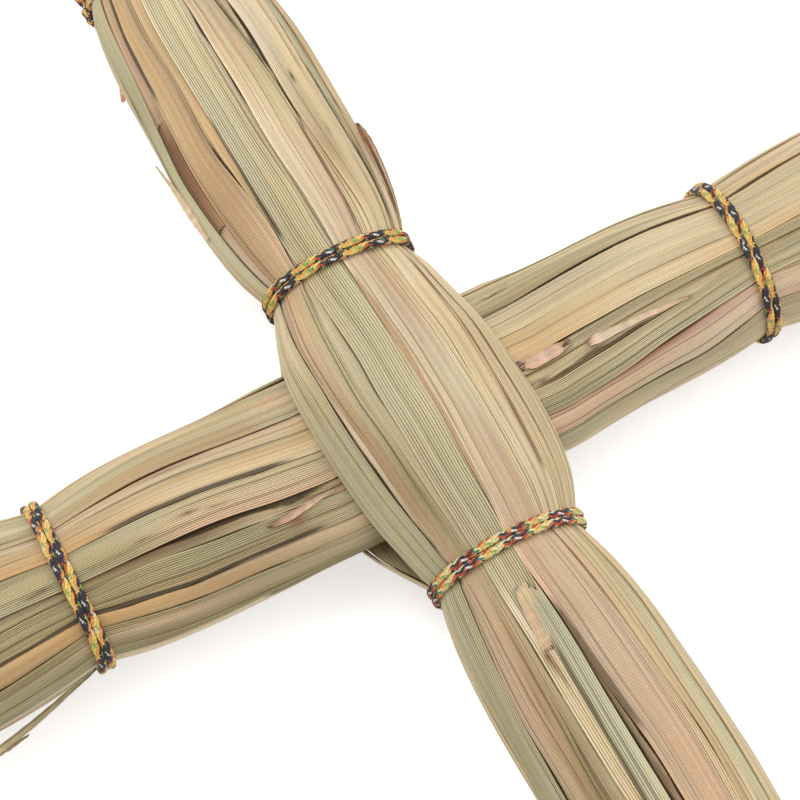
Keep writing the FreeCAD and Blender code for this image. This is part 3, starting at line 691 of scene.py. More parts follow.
# Borders between neighbouring leaves on the front of the upright, from its picture-left side:
# one row for each border, in percent of the half width at these places
UPRIGHT_AT = [-UPRIGHT_END, -OUTER_TIE_AT, -124.7, -95.4, -62.4, -MIDDLE_TIE_AT, 0, MIDDLE_TIE_AT,
              62.4, 100.5, 150.1, OUTER_TIE_AT, UPRIGHT_END]
UPRIGHT_BORDERS = [
    [-87, -88, -87, -86, -79, -80, -79, -93, -93, -96, -89, -89, -88],
    [-72, -73, -71, -71, -67, -71, -70, -83, -82, -82, -78, -76, -75],
    [-58, -58, -58, -56, -52, -56, -55, -61, -52, -58, -61, -60, -59],
    [-40, -40, -40, -41, -41, -41, -36, -47, -45, -45, -43, -40, -39],
    [-8, -8, -8, -8, -5, -4, -2, -5, -10, -14, -14, -12, -11],
    [8, 8, 6, 1, 0, 2, 7, 4, 3, -1, -2, 1, 1],
    [44, 45, 45, 44, 43, 44, 36, 42, 40, 33, 25, 26, 26],
    [57, 58, 59, 55, 56, 58, 53, 60, 58, 41, 41, 44, 43],
    [67, 68, 67, 67, 70, 73, 71, 81, 81, 74, 73, 76, 75],
    [85, 86, 86, 84, 87, 90, 84, 92, 91, 87, 88, 91, 89],
]
# How deep each leaf lies at its left edge, its middle and its right edge
UPRIGHT_LEVELS = [
    (0.0, 0.0, 0.1), (0.9, 0.6, 0.7), (0.0, 0.0, 0.0), (0.6, 0.2, 0.5), (0.0, 0.0, 0.0),
    (0.9, 0.7, 0.8), (0.1, 0.0, 0.0), (0.9, 0.4, 0.4), (0.1, 0.0, 0.1), (0.9, 0.3, 0.4), (0.1, 0.0, 0.0),
]
# 1 where the first leaf of a pair lies on top
UPRIGHT_OVER = [1, -1, 1, -1, 1, -1, 1, -1, 1, -1]
# One leaf is torn out between two places, and a short one lies on the wide one below the lower tie
TORN_LEAF = 1
BREAK_LOW = 78.0
BREAK_HIGH = 120.0
SHORT_LEAF_TOP = -66.0
WIDE_LEAF = 4
EDGE_CURL = 3.0
REAR_CURL = 0.6

# For each leaf: slot, rib height, rib spacing, mm between folds, and its colours
# along the bundle (place, colour at the left edge, colour at the right edge)
UPRIGHT_LOOKS = [
    ("sage_leaf", 0.09, 0.67, 3.4, [
        (-215, PALE_SAGE, STRAW), (-110, OLIVE, SAGE), (-60, PALE_SAGE, SAGE), (0, SAGE),
        (35, PALE_SAGE), (60, STRAW, PALE_SAGE), (100, PALE, PALE_SAGE), (130, SAGE), (200, PALE_SAGE)]),
    ("rose_leaf", 0.07, 0.65, 2.8, [
        (-200, STRAW), (-120, TAN, STRAW), (-95, ROSE), (-60, TAN, STRAW), (-30, PALE, STRAW),
        (-5, PALE), (17, TAN), (38, TAN, ROSE), (62, PALE, PINK), (80, ROSE), (120, TAN, ROSE),
        (200, ROSE)]),
    ("rose_leaf", 0.08, 0.63, 2.4, [
        (-120, TAN, OLIVE), (-85, ROSE, TAN), (-60, ROSE, STRAW), (-30, TAN, OLIVE), (0, TAN, SAGE),
        (40, ROSE, SAGE), (60, TAN, ROSE), (85, TAN), (110, GOLD, TAN), (200, GOLD, STRAW)]),
    ("golden_leaf", 0.08, 0.65, 2.8, [
        (-110, TAN, OLIVE), (-70, STRAW, TAN), (-30, SAGE), (0, SAGE), (30, PALE_SAGE, STRAW),
        (50, TAN, SAGE), (68, TAN, OLIVE), (85, GOLD, TAN), (110, GOLD), (200, ROSE, GOLD)]),
    ("sage_leaf", 0.1, 0.8, 5.0, [
        (-160, STRAW), (-90, STRAW, SAGE), (-60, SAGE), (60, SAGE), (105, PALE_SAGE, SAGE),
        (150, PALE_SAGE)]),
    # below the lower tie its left edge is painted shadow beside the short leaf
    ("brown_leaf", 0.08, 0.65, 2.6, [
        (-115, SHADOW_WEDGE, TAN), (-72, SHADOW_WEDGE), (-60, OLIVE, TAN), (-30, PALE, STRAW), (0, SAGE, STRAW),
        (65, STRAW, SAGE), (85, SAGE), (105, STRAW, SAGE), (130, PALE, STRAW), (200, STRAW, PALE)]),
    ("rose_leaf", 0.09, 0.65, 3.2, [
        (-110, ROSE, PINK), (-60, PINK, ROSE), (-30, PALE, PINK), (-8, PALE), (18, PALE, PINK),
        (50, PALE, ROSE), (70, PALE, PINK), (110, PALE, STRAW), (200, PALE, ROSE)]),
    ("sage_leaf", 0.08, 0.65, 2.6, [
        (-200, STRAW), (-110, STRAW, ROSE), (-70, PALE, PINK), (-30, STRAW), (0, PALE, STRAW),
        (35, ROSE, SAGE), (60, STRAW), (84, STRAW, SAGE), (94, STRAW, SAGE), (103, RUST, OLIVE),
        (114, OLIVE, TAN), (132, SAGE, STRAW), (160, STRAW, BROWN)]),
    ("straw_leaf", 0.07, 0.65, 2.6, [
        (-200, TAN, STRAW), (-90, STRAW), (-60, ROSE, STRAW), (-30, PALE), (0, STRAW), (35, PALE, STRAW),
        (60, STRAW), (85, TAN, STRAW), (110, STRAW), (130, PALE, STRAW), (200, PALE)]),
    ("sage_leaf", 0.09, 0.67, 3.4, [
        (-200, STRAW, SAGE), (-90, PALE_SAGE), (-60, SAGE), (-30, STRAW), (0, STRAW, ROSE),
        (20, PALE_SAGE, STRAW), (35, PALE, STRAW), (60, TAN, OLIVE), (85, TAN, OLIVE),
        (105, SAGE, BLUE_SAGE), (130, PALE_SAGE, BLUE_SAGE), (200, BLUE_SAGE)]),
    ("straw_leaf", 0.07, 0.67, 2.6, [
        (-60, STRAW, PALE), (0, STRAW, PALE_SAGE), (35, PALE, STRAW), (65, PALE), (86, TAN, STRAW),
        (105, STRAW, TAN)]),
]
# Narrow grooves beside a leaf's edge, whose colour is painted shade: leaf, side, from, to, width at each
# end, depth, colour
UPRIGHT_GROOVES = [
    (1, 0, -45, 40, 0.7, 0.9, 0.8, DARK), (1, 0, -150, -62, 0.7, 0.5, 0.6, BROWN),
    (2, 0, 124, 176, 0.5, 0.5, 0.4, SHADE), (3, 0, 54, 104, 0.9, 0.8, 0.9, SHADE),
    (3, 1, -178, -70, 0.6, 0.6, 0.6, SHADE), (4, 0, 60, 112, 0.4, 0.4, 0.4, SHADE),
    (5, 1, 106, 152, 0.7, 0.9, 0.9, SHADE), (5, 1, -196, -66, 1.0, 0.5, 0.8, SHADE),
    (5, 0, -40, 44, 0.5, 0.4, 0.5, SHADE), (4, 1, -205, -76, 2.6, 2.0, 0.8, SHADE),
    (5, 0, -205, -76, 0.8, 0.6, 0.6, SHADE), (7, 0, 92, 176, 1.3, 0.9, 0.8, DARK),
    (7, 1, 96, 150, 0.9, 1.0, 0.9, SHADE), (7, 1, -150, -90, 0.6, 0.5, 0.6, SHADE),
    (9, 0, 58, 152, 3.1, 1.4, 0.9, SHADOW_WEDGE_EDGE), (9, 0, -34, -8, 0.8, 0.6, 0.7, BROWN),
    (9, 0, -160, -58, 0.6, 0.5, 0.6, SHADE), (10, 0, 94, 176, 0.5, 0.5, 0.5, BROWN),
    (7, 1, -30, 30, 0.4, 0.4, 0.5, OLIVE), (3, 1, -40, 40, 0.4, 0.4, 0.4, OLIVE),
    (6, 0, -45, 45, 0.4, 0.4, 0.5, TAN), (8, 1, -40, 44, 0.4, 0.4, 0.5, BROWN),
    (6, 1, 54, 100, 0.4, 0.4, 0.4, BROWN), (6, 0, -118, -70, 1.0, 0.6, 0.6, SHADOW_WEDGE_EDGE),
]
# Marks: leaf, place, share of the width, length, width in shares, colour, strength; the SHADE and DARK
# marks are painted shade in small creases, slots and curls
UPRIGHT_SPOTS = [
    (3, 72, 0.12, 3.5, 0.12, BROWN, 1.0), (3, 90, 0.2, 6, 0.1, TAN, 0.8),
    (4, -70, 0.06, 6, 0.1, PALE, 1.2), (4, -77, 0.22, 5, 0.16, PALE, 1.1),
    (4, -87, 0.16, 3, 0.1, BROWN, 1.3), (4, -92, 0.24, 4, 0.06, BROWN, 0.8),
    (5, -130, 0.6, 3.2, 0.26, RUST, 1.1), (5, -128, 0.45, 2.2, 0.12, DARK, 1.1),
    (7, -73, 0.2, 4.0, 0.16, BUTTER, 1.2), (7, -79, 0.25, 1.8, 0.1, DARK, 1.3),
    (7, 127, 0.6, 2.6, 0.18, SHADE, 1.3), (7, 121, 0.4, 1.6, 0.12, DARK, 1.2),
    (8, 112, 0.4, 1.0, 0.06, DARK, 1.3), (8, 90, 0.5, 0.9, 0.05, DARK, 1.3),
    (8, 103, 0.6, 0.8, 0.05, DARK, 1.0), (8, 97, 0.3, 9.0, 0.03, TAN, 1.0),
    (6, -78, 0.3, 5, 0.1, TAN, 0.8), (2, -95, 0.5, 10, 0.1, BROWN, 0.6),
    (1, 122, 0.5, 1.5, 0.5, BROWN, 0.8), (1, 76.5, 0.5, 1.0, 0.5, BROWN, 0.6),
    (8, -20, 0.9, 9, 0.12, TAN, 0.9), (6, 130, 0.7, 12, 0.1, PINK, 0.8),
    (0, 30, 0.8, 14, 0.15, PALE, 0.7), (4, 20, 0.3, 0.8, 0.02, DARK, 1.0),
    (6, 10, 0.6, 0.8, 0.03, BROWN, 1.0), (4, 96, 0.6, 0.8, 0.02, DARK, 0.9),
]


def wide_leaf_drop(s, u):
    # below the lower tie the right part of the wide green leaf lies under a short leaf
    covered = smooth((-s - 58.0) / 8.0)
    return -covered * 0.95 * smooth((u - 0.1) / 0.25)


def dress(leaf, looks, grooves, marks, index):
    slot, leaf.ribs, leaf.pitch, leaf.fold_every, leaf.colours = looks[index]
    leaf.grooves = [g[1:] for g in grooves if g[0] == index]
    leaf.spots = [g[1:] for g in marks if g[0] == index]
    return slot


borders = [fixed(-90)] + [shares(UPRIGHT, UPRIGHT_AT, row) for row in UPRIGHT_BORDERS] + [fixed(90)]
overs = [0] + UPRIGHT_OVER + [0]
last = len(UPRIGHT_LOOKS) - 1
for i in range(last + 1):
    lengths = [("", None, (0.0, 0.0))]
    if i == TORN_LEAF:
        lengths = [("_lower", (-UPRIGHT_END, BREAK_LOW), (0.0, 3.4)),
                   ("_upper", (BREAK_HIGH, UPRIGHT_END), (-3.0, 0.0))]
    for tail, span, jag in lengths:
        leaf = Leaf(UPRIGHT, borders[i], borders[i + 1], 10 + i, False, span)
        slot = dress(leaf, UPRIGHT_LOOKS, UPRIGHT_GROOVES, UPRIGHT_SPOTS, i)
        leaf.level = UPRIGHT_LEVELS[i]
        leaf.over = (-overs[i], overs[i + 1])
        leaf.curl = (EDGE_CURL if i == 0 else 0.0, EDGE_CURL if i == last else 0.0)
        leaf.jag = jag
        if i == WIDE_LEAF:
            leaf.lift = wide_leaf_drop
        node = "upright_torn_leaf" + tail if tail else "upright_front_leaf_%02d" % (i + 1)
        leaf.build("blade_upright_front_%02d%s" % (i + 1, tail), slot, [node])

# A brown leaf shows where the torn one is missing
leaf = Leaf(UPRIGHT, borders[TORN_LEAF], borders[TORN_LEAF + 1], 31, False,
            (BREAK_LOW + 0.3, BREAK_HIGH - 0.3))
leaf.level = (0.8, 0.7, 0.8)
leaf.over = (0, 0)
leaf.ribs = 0.13
leaf.pitch = 0.62
leaf.colours = [(78, RUST, TAN), (92, CHESTNUT, RUST), (110, CHESTNUT), (120, RUST, TAN)]
leaf.build("blade_upright_brown_patch", "brown_leaf", ["upright_brown_patch"])

# Short green leaf that starts with a torn end below the lower middle tie
SHORT_AT = [-215, -120, -88, -66]
SHORT_LEFT = shares(UPRIGHT, SHORT_AT, [-29, -28, -25, -20])
SHORT_RIGHT = shares(UPRIGHT, SHORT_AT, [-9, -9, -6, -6])
leaf = Leaf(UPRIGHT, SHORT_LEFT, SHORT_RIGHT, 100, False, (-UPRIGHT_END + 1.5, SHORT_LEAF_TOP))
leaf.reach = 0.4
leaf.jag = (0.0, 2.6)
leaf.grooves = [(0, -205, -80, 1.0, 0.7, 0.5, SHORT_SHADE)]
leaf.colours = [(-160, SAGE), (-120, BLUE_SAGE), (-72, BLUE_SAGE), (-67, STRAW)]
leaf.build("blade_upright_short", "sage_leaf", ["upright_short_leaf"])

# Leaves on the rear, between these angles
REAR_ANGLES = [-90, -108, -130, -152, -176, -200, -223, -248, -270]
CROSS_REAR_ANGLES = [-90, -110, -131, -153, -177, -201, -224, -247, -270]
REAR_LEVELS = [(0.0, 0.0, 0.0), (0.6, 0.3, 0.5), (0.0, 0.0, 0.0), (0.5, 0.2, 0.5), (0.0, 0.0, 0.0),
               (0.5, 0.2, 0.5), (0.0, 0.0, 0.0), (0.4, 0.1, 0.0)]
REAR_CYCLE = [("sage_leaf", SAGE), ("straw_leaf", STRAW), ("rose_leaf", ROSE), ("sage_leaf", PALE_SAGE),
              ("straw_leaf", PALE), ("golden_leaf", GOLD), ("sage_leaf", OLIVE), ("straw_leaf", STRAW)]


def rear_leaves(bundle, angles, offset, seed):
    last = len(angles) - 1
    lean = [0] + [1 if k % 2 else -1 for k in range(1, last)] + [0]
    for k in range(last):
        leaf = Leaf(bundle, fixed(angles[k + 1]), fixed(angles[k]), seed + k, True)
        leaf.level = REAR_LEVELS[k][::-1]
        leaf.over = (lean[k + 1], -lean[k])
        leaf.curl = (REAR_CURL if k == last - 1 else 0.0, REAR_CURL if k == 0 else 0.0)
        if leaf.over[k % 2] < 0:
            leaf.grooves = [(k % 2, -150, 150, 0.6, 0.8, 0.5, SHADE)]
        slot, colour = REAR_CYCLE[(k + 1 + offset) % 8]
        other = REAR_CYCLE[(k * 3 + offset) % 8][1]
        leaf.colours = [(-150, 0.6 * colour + 0.4 * other, colour), (0, colour, 0.6 * colour + 0.4 * SAGE),
                        (150, colour, 0.5 * colour + 0.5 * other)]
        place = (bundle.name, k + 1)
        leaf.build("blade_%s_rear_%02d" % place, slot, ["%s_rear_leaf_%02d" % place])


rear_leaves(UPRIGHT, REAR_ANGLES, 0, 40)
rear_leaves(CROSSPIECE, CROSS_REAR_ANGLES, 3, 60)

# Borders on the front of the cross-piece, from its picture-upper side downward
CROSS_AT = [-CROSS_END, -LEFT_TIE_AT, -81, -50.9, 30.4, 55.1, 80.5, RIGHT_TIE_AT, CROSS_END]
CROSS_BORDERS = [
    [94, 90, 95, 94, 91, 94, 91, 86, 89],
    [74, 69, 74, 72, 71, 73, 67, 60, 64],
    [51, 46, 45, 40, 52, 54, 56, 56, 61],
    [29, 27, 22, 15, 14, 12, 12, 13, 16],
    [10, 8, 4, -4, -12, -17, -18, -12, -10],
    [-29, -28, -32, -38, -28, -30, -29, -24, -25],
    [-48, -45, -50, -56, -50, -53, -46, -36, -35],
    [-70, -65, -75, -76, -71, -74, -67, -56, -57],
    [-88, -83, -89, -92, -93, -95, -95, -88, -91],
]
CROSS_LEVELS = [
    (0.0, 0.0, 0.1), (0.6, 0.2, 0.3), (0.1, 0.0, 0.0), (0.7, 0.2, 0.5), (0.0, 0.0, 0.0),
    (0.6, 0.1, 0.0), (0.9, 0.5, 0.6), (0.1, 0.0, 0.1), (0.7, 0.2, 0.4), (0.0, 0.0, 0.0),
]
CROSS_OVER = [1, -1, 1, -1, 1, 1, -1, 1, -1]
CROSS_LOOKS = [
    ("straw_leaf", 0.07, 0.65, 2.8, [
        (-150, STRAW, PALE_SAGE), (-60, STRAW, SAGE), (-35, OLIVE, ROSE), (40, STRAW, PALE),
        (150, PALE)]),
    ("sage_leaf", 0.09, 0.65, 2.8, [
        (-150, SAGE), (-95, STRAW), (-70, STRAW), (-50, SAGE, TAN), (-35, SAGE, STRAW), (40, SAGE),
        (65, STRAW), (90, STRAW, PALE), (150, PALE)]),
    ("sage_leaf", 0.08, 0.63, 2.8, [
        (-150, SAGE), (-70, TAN, SAGE), (-50, TAN, SAGE), (-40, SAGE, ROSE), (35, OLIVE, SAGE),
        (60, OLIVE, SAGE), (90, STRAW, SAGE), (125, STRAW)]),
    ("straw_leaf", 0.07, 0.63, 2.6, [(-40, STRAW, ROSE), (35, STRAW)]),
    ("golden_leaf", 0.035, 0.65, 4.2, [
        (-100, AMBER, GOLD), (-75, STRAW, GOLD), (-45, STRAW, GOLD), (40, GOLD), (70, STRAW),
        (120, GOLD, STRAW)]),
    ("sage_leaf", 0.1, 0.67, 3.6, [
        (-150, SAGE, OLIVE), (-95, OLIVE, SAGE), (-75, ROSE, SAGE), (-35, ROSE, SAGE), (36, SAGE, ROSE),
        (50, SAGE), (66, SAGE), (90, SAGE, STRAW)]),
    ("brown_leaf", 0.08, 0.65, 2.6, [
        (-150, OLIVE, SAGE), (-95, OLIVE, BROWN), (-75, OLIVE, BROWN), (-55, STRAW, TAN),
        (-35, TAN, OLIVE), (30, STRAW), (45, SAGE, STRAW), (66, STRAW)]),
    ("sage_leaf", 0.1, 0.63, 3.0, [(-50, OLIVE), (-35, SAGE), (35, OLIVE, SAGE), (65, SAGE)]),
    ("golden_leaf", 0.05, 0.65, 3.2, [
        (-150, AMBER, TAN), (-130, TAN, AMBER), (-110, AMBER), (-95, GOLD, AMBER), (-75, GOLD, TAN),
        (-40, STRAW, ROSE), (35, PINK), (60, PALE, PINK), (90, PALE, PINK), (120, PINK, STRAW)]),
    ("sage_leaf", 0.09, 0.65, 3.4, [
        (-150, SAGE, OLIVE), (-95, OLIVE), (-40, OLIVE, SAGE), (40, PALE_SAGE, SAGE),
        (120, STRAW, SAGE)]),
]
# Grooves on the cross-piece, coloured with painted shade as on the upright
CROSS_GROOVES = [
    (1, 1, -150, -40, 0.4, 0.5, 0.5, SHADE), (1, 1, 34, 100, 0.4, 0.4, 0.4, OLIVE),
    (2, 1, 27, 40, 1.2, 0.4, 0.7, SHADE), (3, 1, -150, -40, 0.4, 0.5, 0.5, BROWN),
    (3, 1, 34, 150, 0.6, 0.5, 0.6, SHADE), (4, 0, -100, -40, 0.4, 0.4, 0.4, SHADE),
    (5, 1, -108, -40, 0.5, 0.6, 0.6, BROWN), (6, 1, -98, -36, 0.7, 2.6, 1.0, GREEN_SHADE),
    (6, 0, -100, -40, 0.6, 0.9, 0.9, SHADE), (5, 1, 33, 60, 0.7, 0.5, 0.7, SHADE),
    (6, 1, 40, 74, 0.5, 0.6, 0.7, DARK), (6, 0, 25, 70, 2.9, 1.5, 0.9, RUSSET),
    (6, 0, 60, 150, 0.5, 0.5, 0.6, SHADE), (8, 1, -106, -66, 1.1, 0.7, 1.0, DARK),
    (8, 1, 28, 94, 0.8, 0.7, 0.9, BROWN), (8, 0, -150, -40, 0.6, 0.5, 0.6, SHADE),
    (8, 0, 34, 150, 0.4, 0.5, 0.6, SHADE), (9, 0, -150, -60, 0.4, 0.4, 0.4, SHADE),
    (3, 0, -150, 150, 0.4, 0.4, 0.4, SHADE), (1, 0, 60, 150, 0.4, 0.4, 0.4, TAN),
    (0, 0, 34, 150, 0.4, 0.4, 0.3, OLIVE), (7, 0, -150, -40, 0.4, 0.4, 0.4, SHADE),
]
# Marks on the cross-piece, as on the upright; the DARK ones are painted shade in small creases and curls
CROSS_SPOTS = [
    (5, -75, 0.5, 3, 0.06, BROWN, 1.0), (5, -88, 0.3, 2, 0.05, BROWN, 1.0),
    (5, -66, 0.4, 2, 0.05, DARK, 0.9), (5, -120, 0.12, 3.0, 0.05, BROWN, 1.0),
    (5, -118.4, 0.17, 1.2, 0.03, DARK, 1.0), (5, -123, 0.1, 1.4, 0.04, DARK, 0.9),
    (7, -48, 0.65, 1.6, 0.4, RUST, 1.2), (7, -80, 0.2, 20, 0.1, TAN, 0.6),
    (9, -90, 0.8, 22, 0.16, ROSE, 0.9), (2, 44, 0.5, 14, 0.12, TAN, 0.7),
    (4, 70, 0.2, 30, 0.1, PALE, 0.6), (4, -70, 0.7, 30, 0.12, PALE, 0.6),
    (8, 60, 0.9, 26, 0.12, REDDISH, 0.9), (7, 80, 0.5, 20, 0.12, TAN, 0.5),
    (3, -75, 0.7, 10, 0.1, BROWN, 0.7),
]
borders = [fixed(90)] + [shares(CROSSPIECE, CROSS_AT, row) for row in CROSS_BORDERS] + [fixed(-90)]
overs = [0] + CROSS_OVER + [0]
last = len(CROSS_LOOKS) - 1
for i in range(last + 1):
    leaf = Leaf(CROSSPIECE, borders[i + 1], borders[i], 80 + i)
    slot = dress(leaf, CROSS_LOOKS, CROSS_GROOVES, CROSS_SPOTS, i)
    leaf.level = CROSS_LEVELS[i][::-1]
    leaf.over = (overs[i + 1], -overs[i])
    leaf.curl = (EDGE_CURL if i == last else 0.0, EDGE_CURL if i == 0 else 0.0)
    leaf.build("blade_crosspiece_front_%02d" % (i + 1), slot, ["crosspiece_front_leaf_%02d" % (i + 1)])

# Loose torn strips
RIBBON_STEP = 0.6
RIBBON_COLUMNS = 25
RIBBON_RIBS = 5
RIBBON_RIB_HEIGHT = 0.06
RIBBON_TORN_SHARE = 0.15


def ribbon(name, slot, bundle, spots, colours, nodes, curl, crumple, tear, seed, rear=False):
    # spots: station, angle in degrees, half width, height over the surface, turn in degrees
    # colours: the outer face and the inner face, each as stops along the strip
    rng = np.random.default_rng(seed)
    first, last = spots[0][0], spots[-1][0]
    t = np.linspace(0, 1, max(int(abs(last - first) / RIBBON_STEP), 6))
    key = np.linspace(0, 1, len(spots))
    s, degrees, half, over, turn = (
        np.mean([np.interp(t + d, key, [p[k] for p in spots]) for d in (-0.05, 0, 0.05)], axis=0)
        for k in range(5))
    v = np.linspace(-1, 1, RIBBON_COLUMNS)
    angle = np.radians(degrees)
    rate = np.hypot(bundle.width(s, rear) * np.cos(angle), bundle.height(s, rear) * np.sin(angle))
    across = half[:, None] * (np.sin(curl * v) / curl)[None, :]
    deep = half[:, None] * ((1 - np.cos(curl * v)) / curl)[None, :]
    lean = np.radians(turn)[:, None]
    lateral = across * np.cos(lean) - deep * np.sin(lean)
    up = over[:, None] + across * np.sin(lean) + deep * np.cos(lean)
    ribs = np.cos(2 * np.pi * RIBBON_RIBS * v)[None, :]
    folds = Wander(rng, 5.0)(s)[:, None] * Wander(rng, 1.4)(v)[None, :]
    folds = folds + 0.6 * Wander(rng, 2.2)(s[:, None] + 3 * v[None, :])
    up = up + RIBBON_RIB_HEIGHT * ribs + crumple * folds
    spread = angle[:, None] + (lateral + 0.4 * crumple * Wander(rng, 6.0)(s)[:, None]) / rate[:, None]
    ragged = rng.uniform(-1, 1, RIBBON_COLUMNS) * tear
    torn = np.clip(1 - np.minimum(t, 1 - t) / RIBBON_TORN_SHARE, 0, 1)
    s2 = s[:, None] + ragged[None, :] * torn[:, None]
    thick = 0.22 + 0.2 * np.sin(np.pi * t)[:, None]
    top = surface(bundle, s2, spread, up, rear)
    bottom = surface(bundle, s2[:, ::-1], spread[:, ::-1], up[:, ::-1] - thick, rear)
    # painted light and shade on the ribs, and a random tone along the strip
    light = (1 + 0.12 * ribs + 0.10 * Wander(rng, 4.0)(s)[:, None])[..., None]
    faces = [colour_run(stops, t[:, None] + 0 * v[None, :]) * light for stops in colours]
    run = np.stack([np.repeat(v[None, :] * RIBBON_RIBS, len(t), 0), s2, np.full(s2.shape, 7.1 * seed)], -1)
    flip = (bundle is CROSSPIECE) != (last < first)
    return make_leaf(name, slot, np.concatenate([top, bottom], 1), np.concatenate(faces, 1),
                     np.concatenate([run, run[:, ::-1]], 1), flip, nodes)


def one(*stops):
    # the same colours on both faces
    return stops, stops


ribbon("flap_brown", "brown_leaf", UPRIGHT,
       [(55, 82, 0.7, 0.1, 20), (62, 79, 1.2, 0.1, 30), (72, 76, 1.7, 0.3, 45), (82, 75, 2.0, 0.5, 50),
        (89, 75, 1.8, 0.6, 45), (94, 76, 0.8, 0.5, 35)],
       ([(0, STRAW), (0.25, BROWN), (0.5, DARK), (0.75, BROWN), (1, RUST)],
        [(0, STRAW), (0.5, PINK_SKIN), (1, TAN)]),
       ["upright_brown_flap"], 1.35, 0.10, 1.2, 2)
ribbon("sliver_torn", "rose_leaf", UPRIGHT,
       [(79, -82, 0.7, 0.4, 0), (86, -82, 1.4, 0.5, -20), (93, -82, 1.2, 0.8, -30),
        (101, -82, 0.6, 1.7, -30), (111, -83, 0.12, 3.2, 0)],
       one((0, PALE_SKIN), (0.4, PALE_SKIN), (1, PALE)), ["upright_torn_sliver"], 0.9, 0.06, 0.4, 3)
ribbon("strip_torn_upper", "rose_leaf", CROSSPIECE,
       [(28.0, -12, 1.6, 0.4, 0), (31.5, -12, 2.2, 0.6, 12), (35, -12.5, 2.1, 0.4, -12),
        (39, -12.8, 1.9, 0.6, 14), (42.5, -13, 1.0, 0.4, -8)],
       one((0, ROSE), (0.3, PINK), (0.5, PINK_SKIN), (1, PINK)), ["crosspiece_torn_strip_upper"],
       0.6, 0.30, 2.0, 4)
ribbon("strip_torn_lower", "rose_leaf", CROSSPIECE,
       [(48, -20.5, 1.0, 0.4, 12), (50.5, -21.2, 1.7, 0.6, -10), (54, -22, 1.3, 0.5, 10),
        (60, -23.3, 1.0, 0.5, 0), (70, -25, 0.9, 0.5, 0), (81, -26.3, 0.35, 0.4, 0)],
       one((0, PINK_SKIN), (0.25, PALE_SKIN), (0.8, PALE_SKIN), (1, PALE)), ["crosspiece_torn_strip_lower"],
       0.7, 0.10, 1.2, 5)
ribbon("tip_torn", "rose_leaf", CROSSPIECE,
       [(-56.5, -36, 0.7, 0.4, 0), (-50, -35, 1.1, 0.5, 8), (-43, -32, 0.9, 0.6, 15),
        (-36, -29, 0.4, 0.6, 20)],
       one((0, TAN), (0.3, PINK_SKIN), (1, PALE_SKIN)), ["crosspiece_torn_tip"], 0.8, 0.14, 1.2, 6)
ribbon("blade_splayed", "sage_leaf", CROSSPIECE,
       [(-114, -96.5, 0.8, 0.1, 0), (-124, -97, 1.5, 1.0, 20), (-136, -97, 1.9, 2.8, 30),
        (-147, -97, 2.0, 4.4, 35), (-157.5, -97, 2.0, 5.8, 35)],
       one((0, SAGE), (0.4, OLIVE), (1, SAGE)), ["crosspiece_splayed_blade"], 1.4, 0.05, 1.0, 7, True)
ribbon("end_torn", "brown_leaf", CROSSPIECE,
       [(-138.5, -107, 0.5, 5.0, 0), (-143, -106, 1.6, 5.0, 10), (-149, -104, 2.2, 5.2, 0),
        (-157.5, -102, 2.4, 5.8, -10)],
       one((0, ROSE), (0.4, PINK), (0.7, TAN), (1, ROSE)), ["crosspiece_torn_end"], 0.9, 0.3, 2.0, 8, True)
# A torn skin lies beside the top of the short leaf
ribbon("strip_torn_short", "rose_leaf", UPRIGHT,
       [(-65, -13, 1.3, 0.05, 0), (-70, -14, 1.8, -0.1, 3), (-77, -16, 1.8, -0.15, 0),
        (-84.5, -18.3, 1.6, -0.2, 2)],
       one((0, STRAW), (0.5, WORN_SKIN), (1, WORN_SKIN)), (), 0.3, 0.05, 0.9, 9)


class Heap:
    """Collects many small shapes into a single mesh."""

    def __init__(self):
        self.points = []
        self.faces = []
        self.tints = []
        self.runs = []
        self.base = 0

    def add(self, points, faces, tint, run):
        # the faces already count from base
        self.points.append(points)
        self.faces += faces
        self.tints.append(tint)
        self.runs.append(run)
        self.base += len(points)

    def build(self, name, material, slot, node, crease):
        return make_piece(name, np.concatenate(self.points), self.faces, np.concatenate(self.tints),
                          np.concatenate(self.runs), material, [node], crease)


# Inner leaves: a dark body of painted shade inside each ring, and folded blades whose cut ends show
BODY_SHORTER = 14.0
BODY_DEPTH = 3.2
BODY_CORE_DEPTH = 6.5
INNER_BLADES = 64
INNER_MARGIN = 2.6
INNER_REACH = 0.86
BLADE_ROWS = 6
BLADE_SIDES = 14


def inner_body(heap, bundle, seed):
    # fills each half of the ring of outer leaves with painted shade, paler where it meets the side
    stop = bundle.end - BODY_SHORTER
    s = np.linspace(-stop, stop, int(bundle.end * 2 / 5))
    for rear in (False, True):
        half = np.radians(np.linspace(-90, 90, 33)) + (np.pi if rear else 0.0)
        side = smooth((np.abs(np.sin(half)) - 0.87) / 0.10)
        shell = surface(bundle, s[:, None], half[None, :], (1.9 * side - BODY_DEPTH)[None, :], rear)
        flat = surface(bundle, s[:, None], half[None, ::-8], -BODY_CORE_DEPTH, rear)
        ring = np.concatenate([shell, flat], 1)
        points = ring.reshape(-1, 3)
        tone = SHADE + (OLIVE - SHADE) * np.concatenate([side, side[::-8]])[:, None]
        run = np.stack([points[:, 0], points[:, 1], 0 * points[:, 0] + seed], -1)
        heap.add(points, ring_faces(len(s), ring.shape[1], bundle is CROSSPIECE, heap.base),
                 np.tile(tone, (len(s), 1)), run)


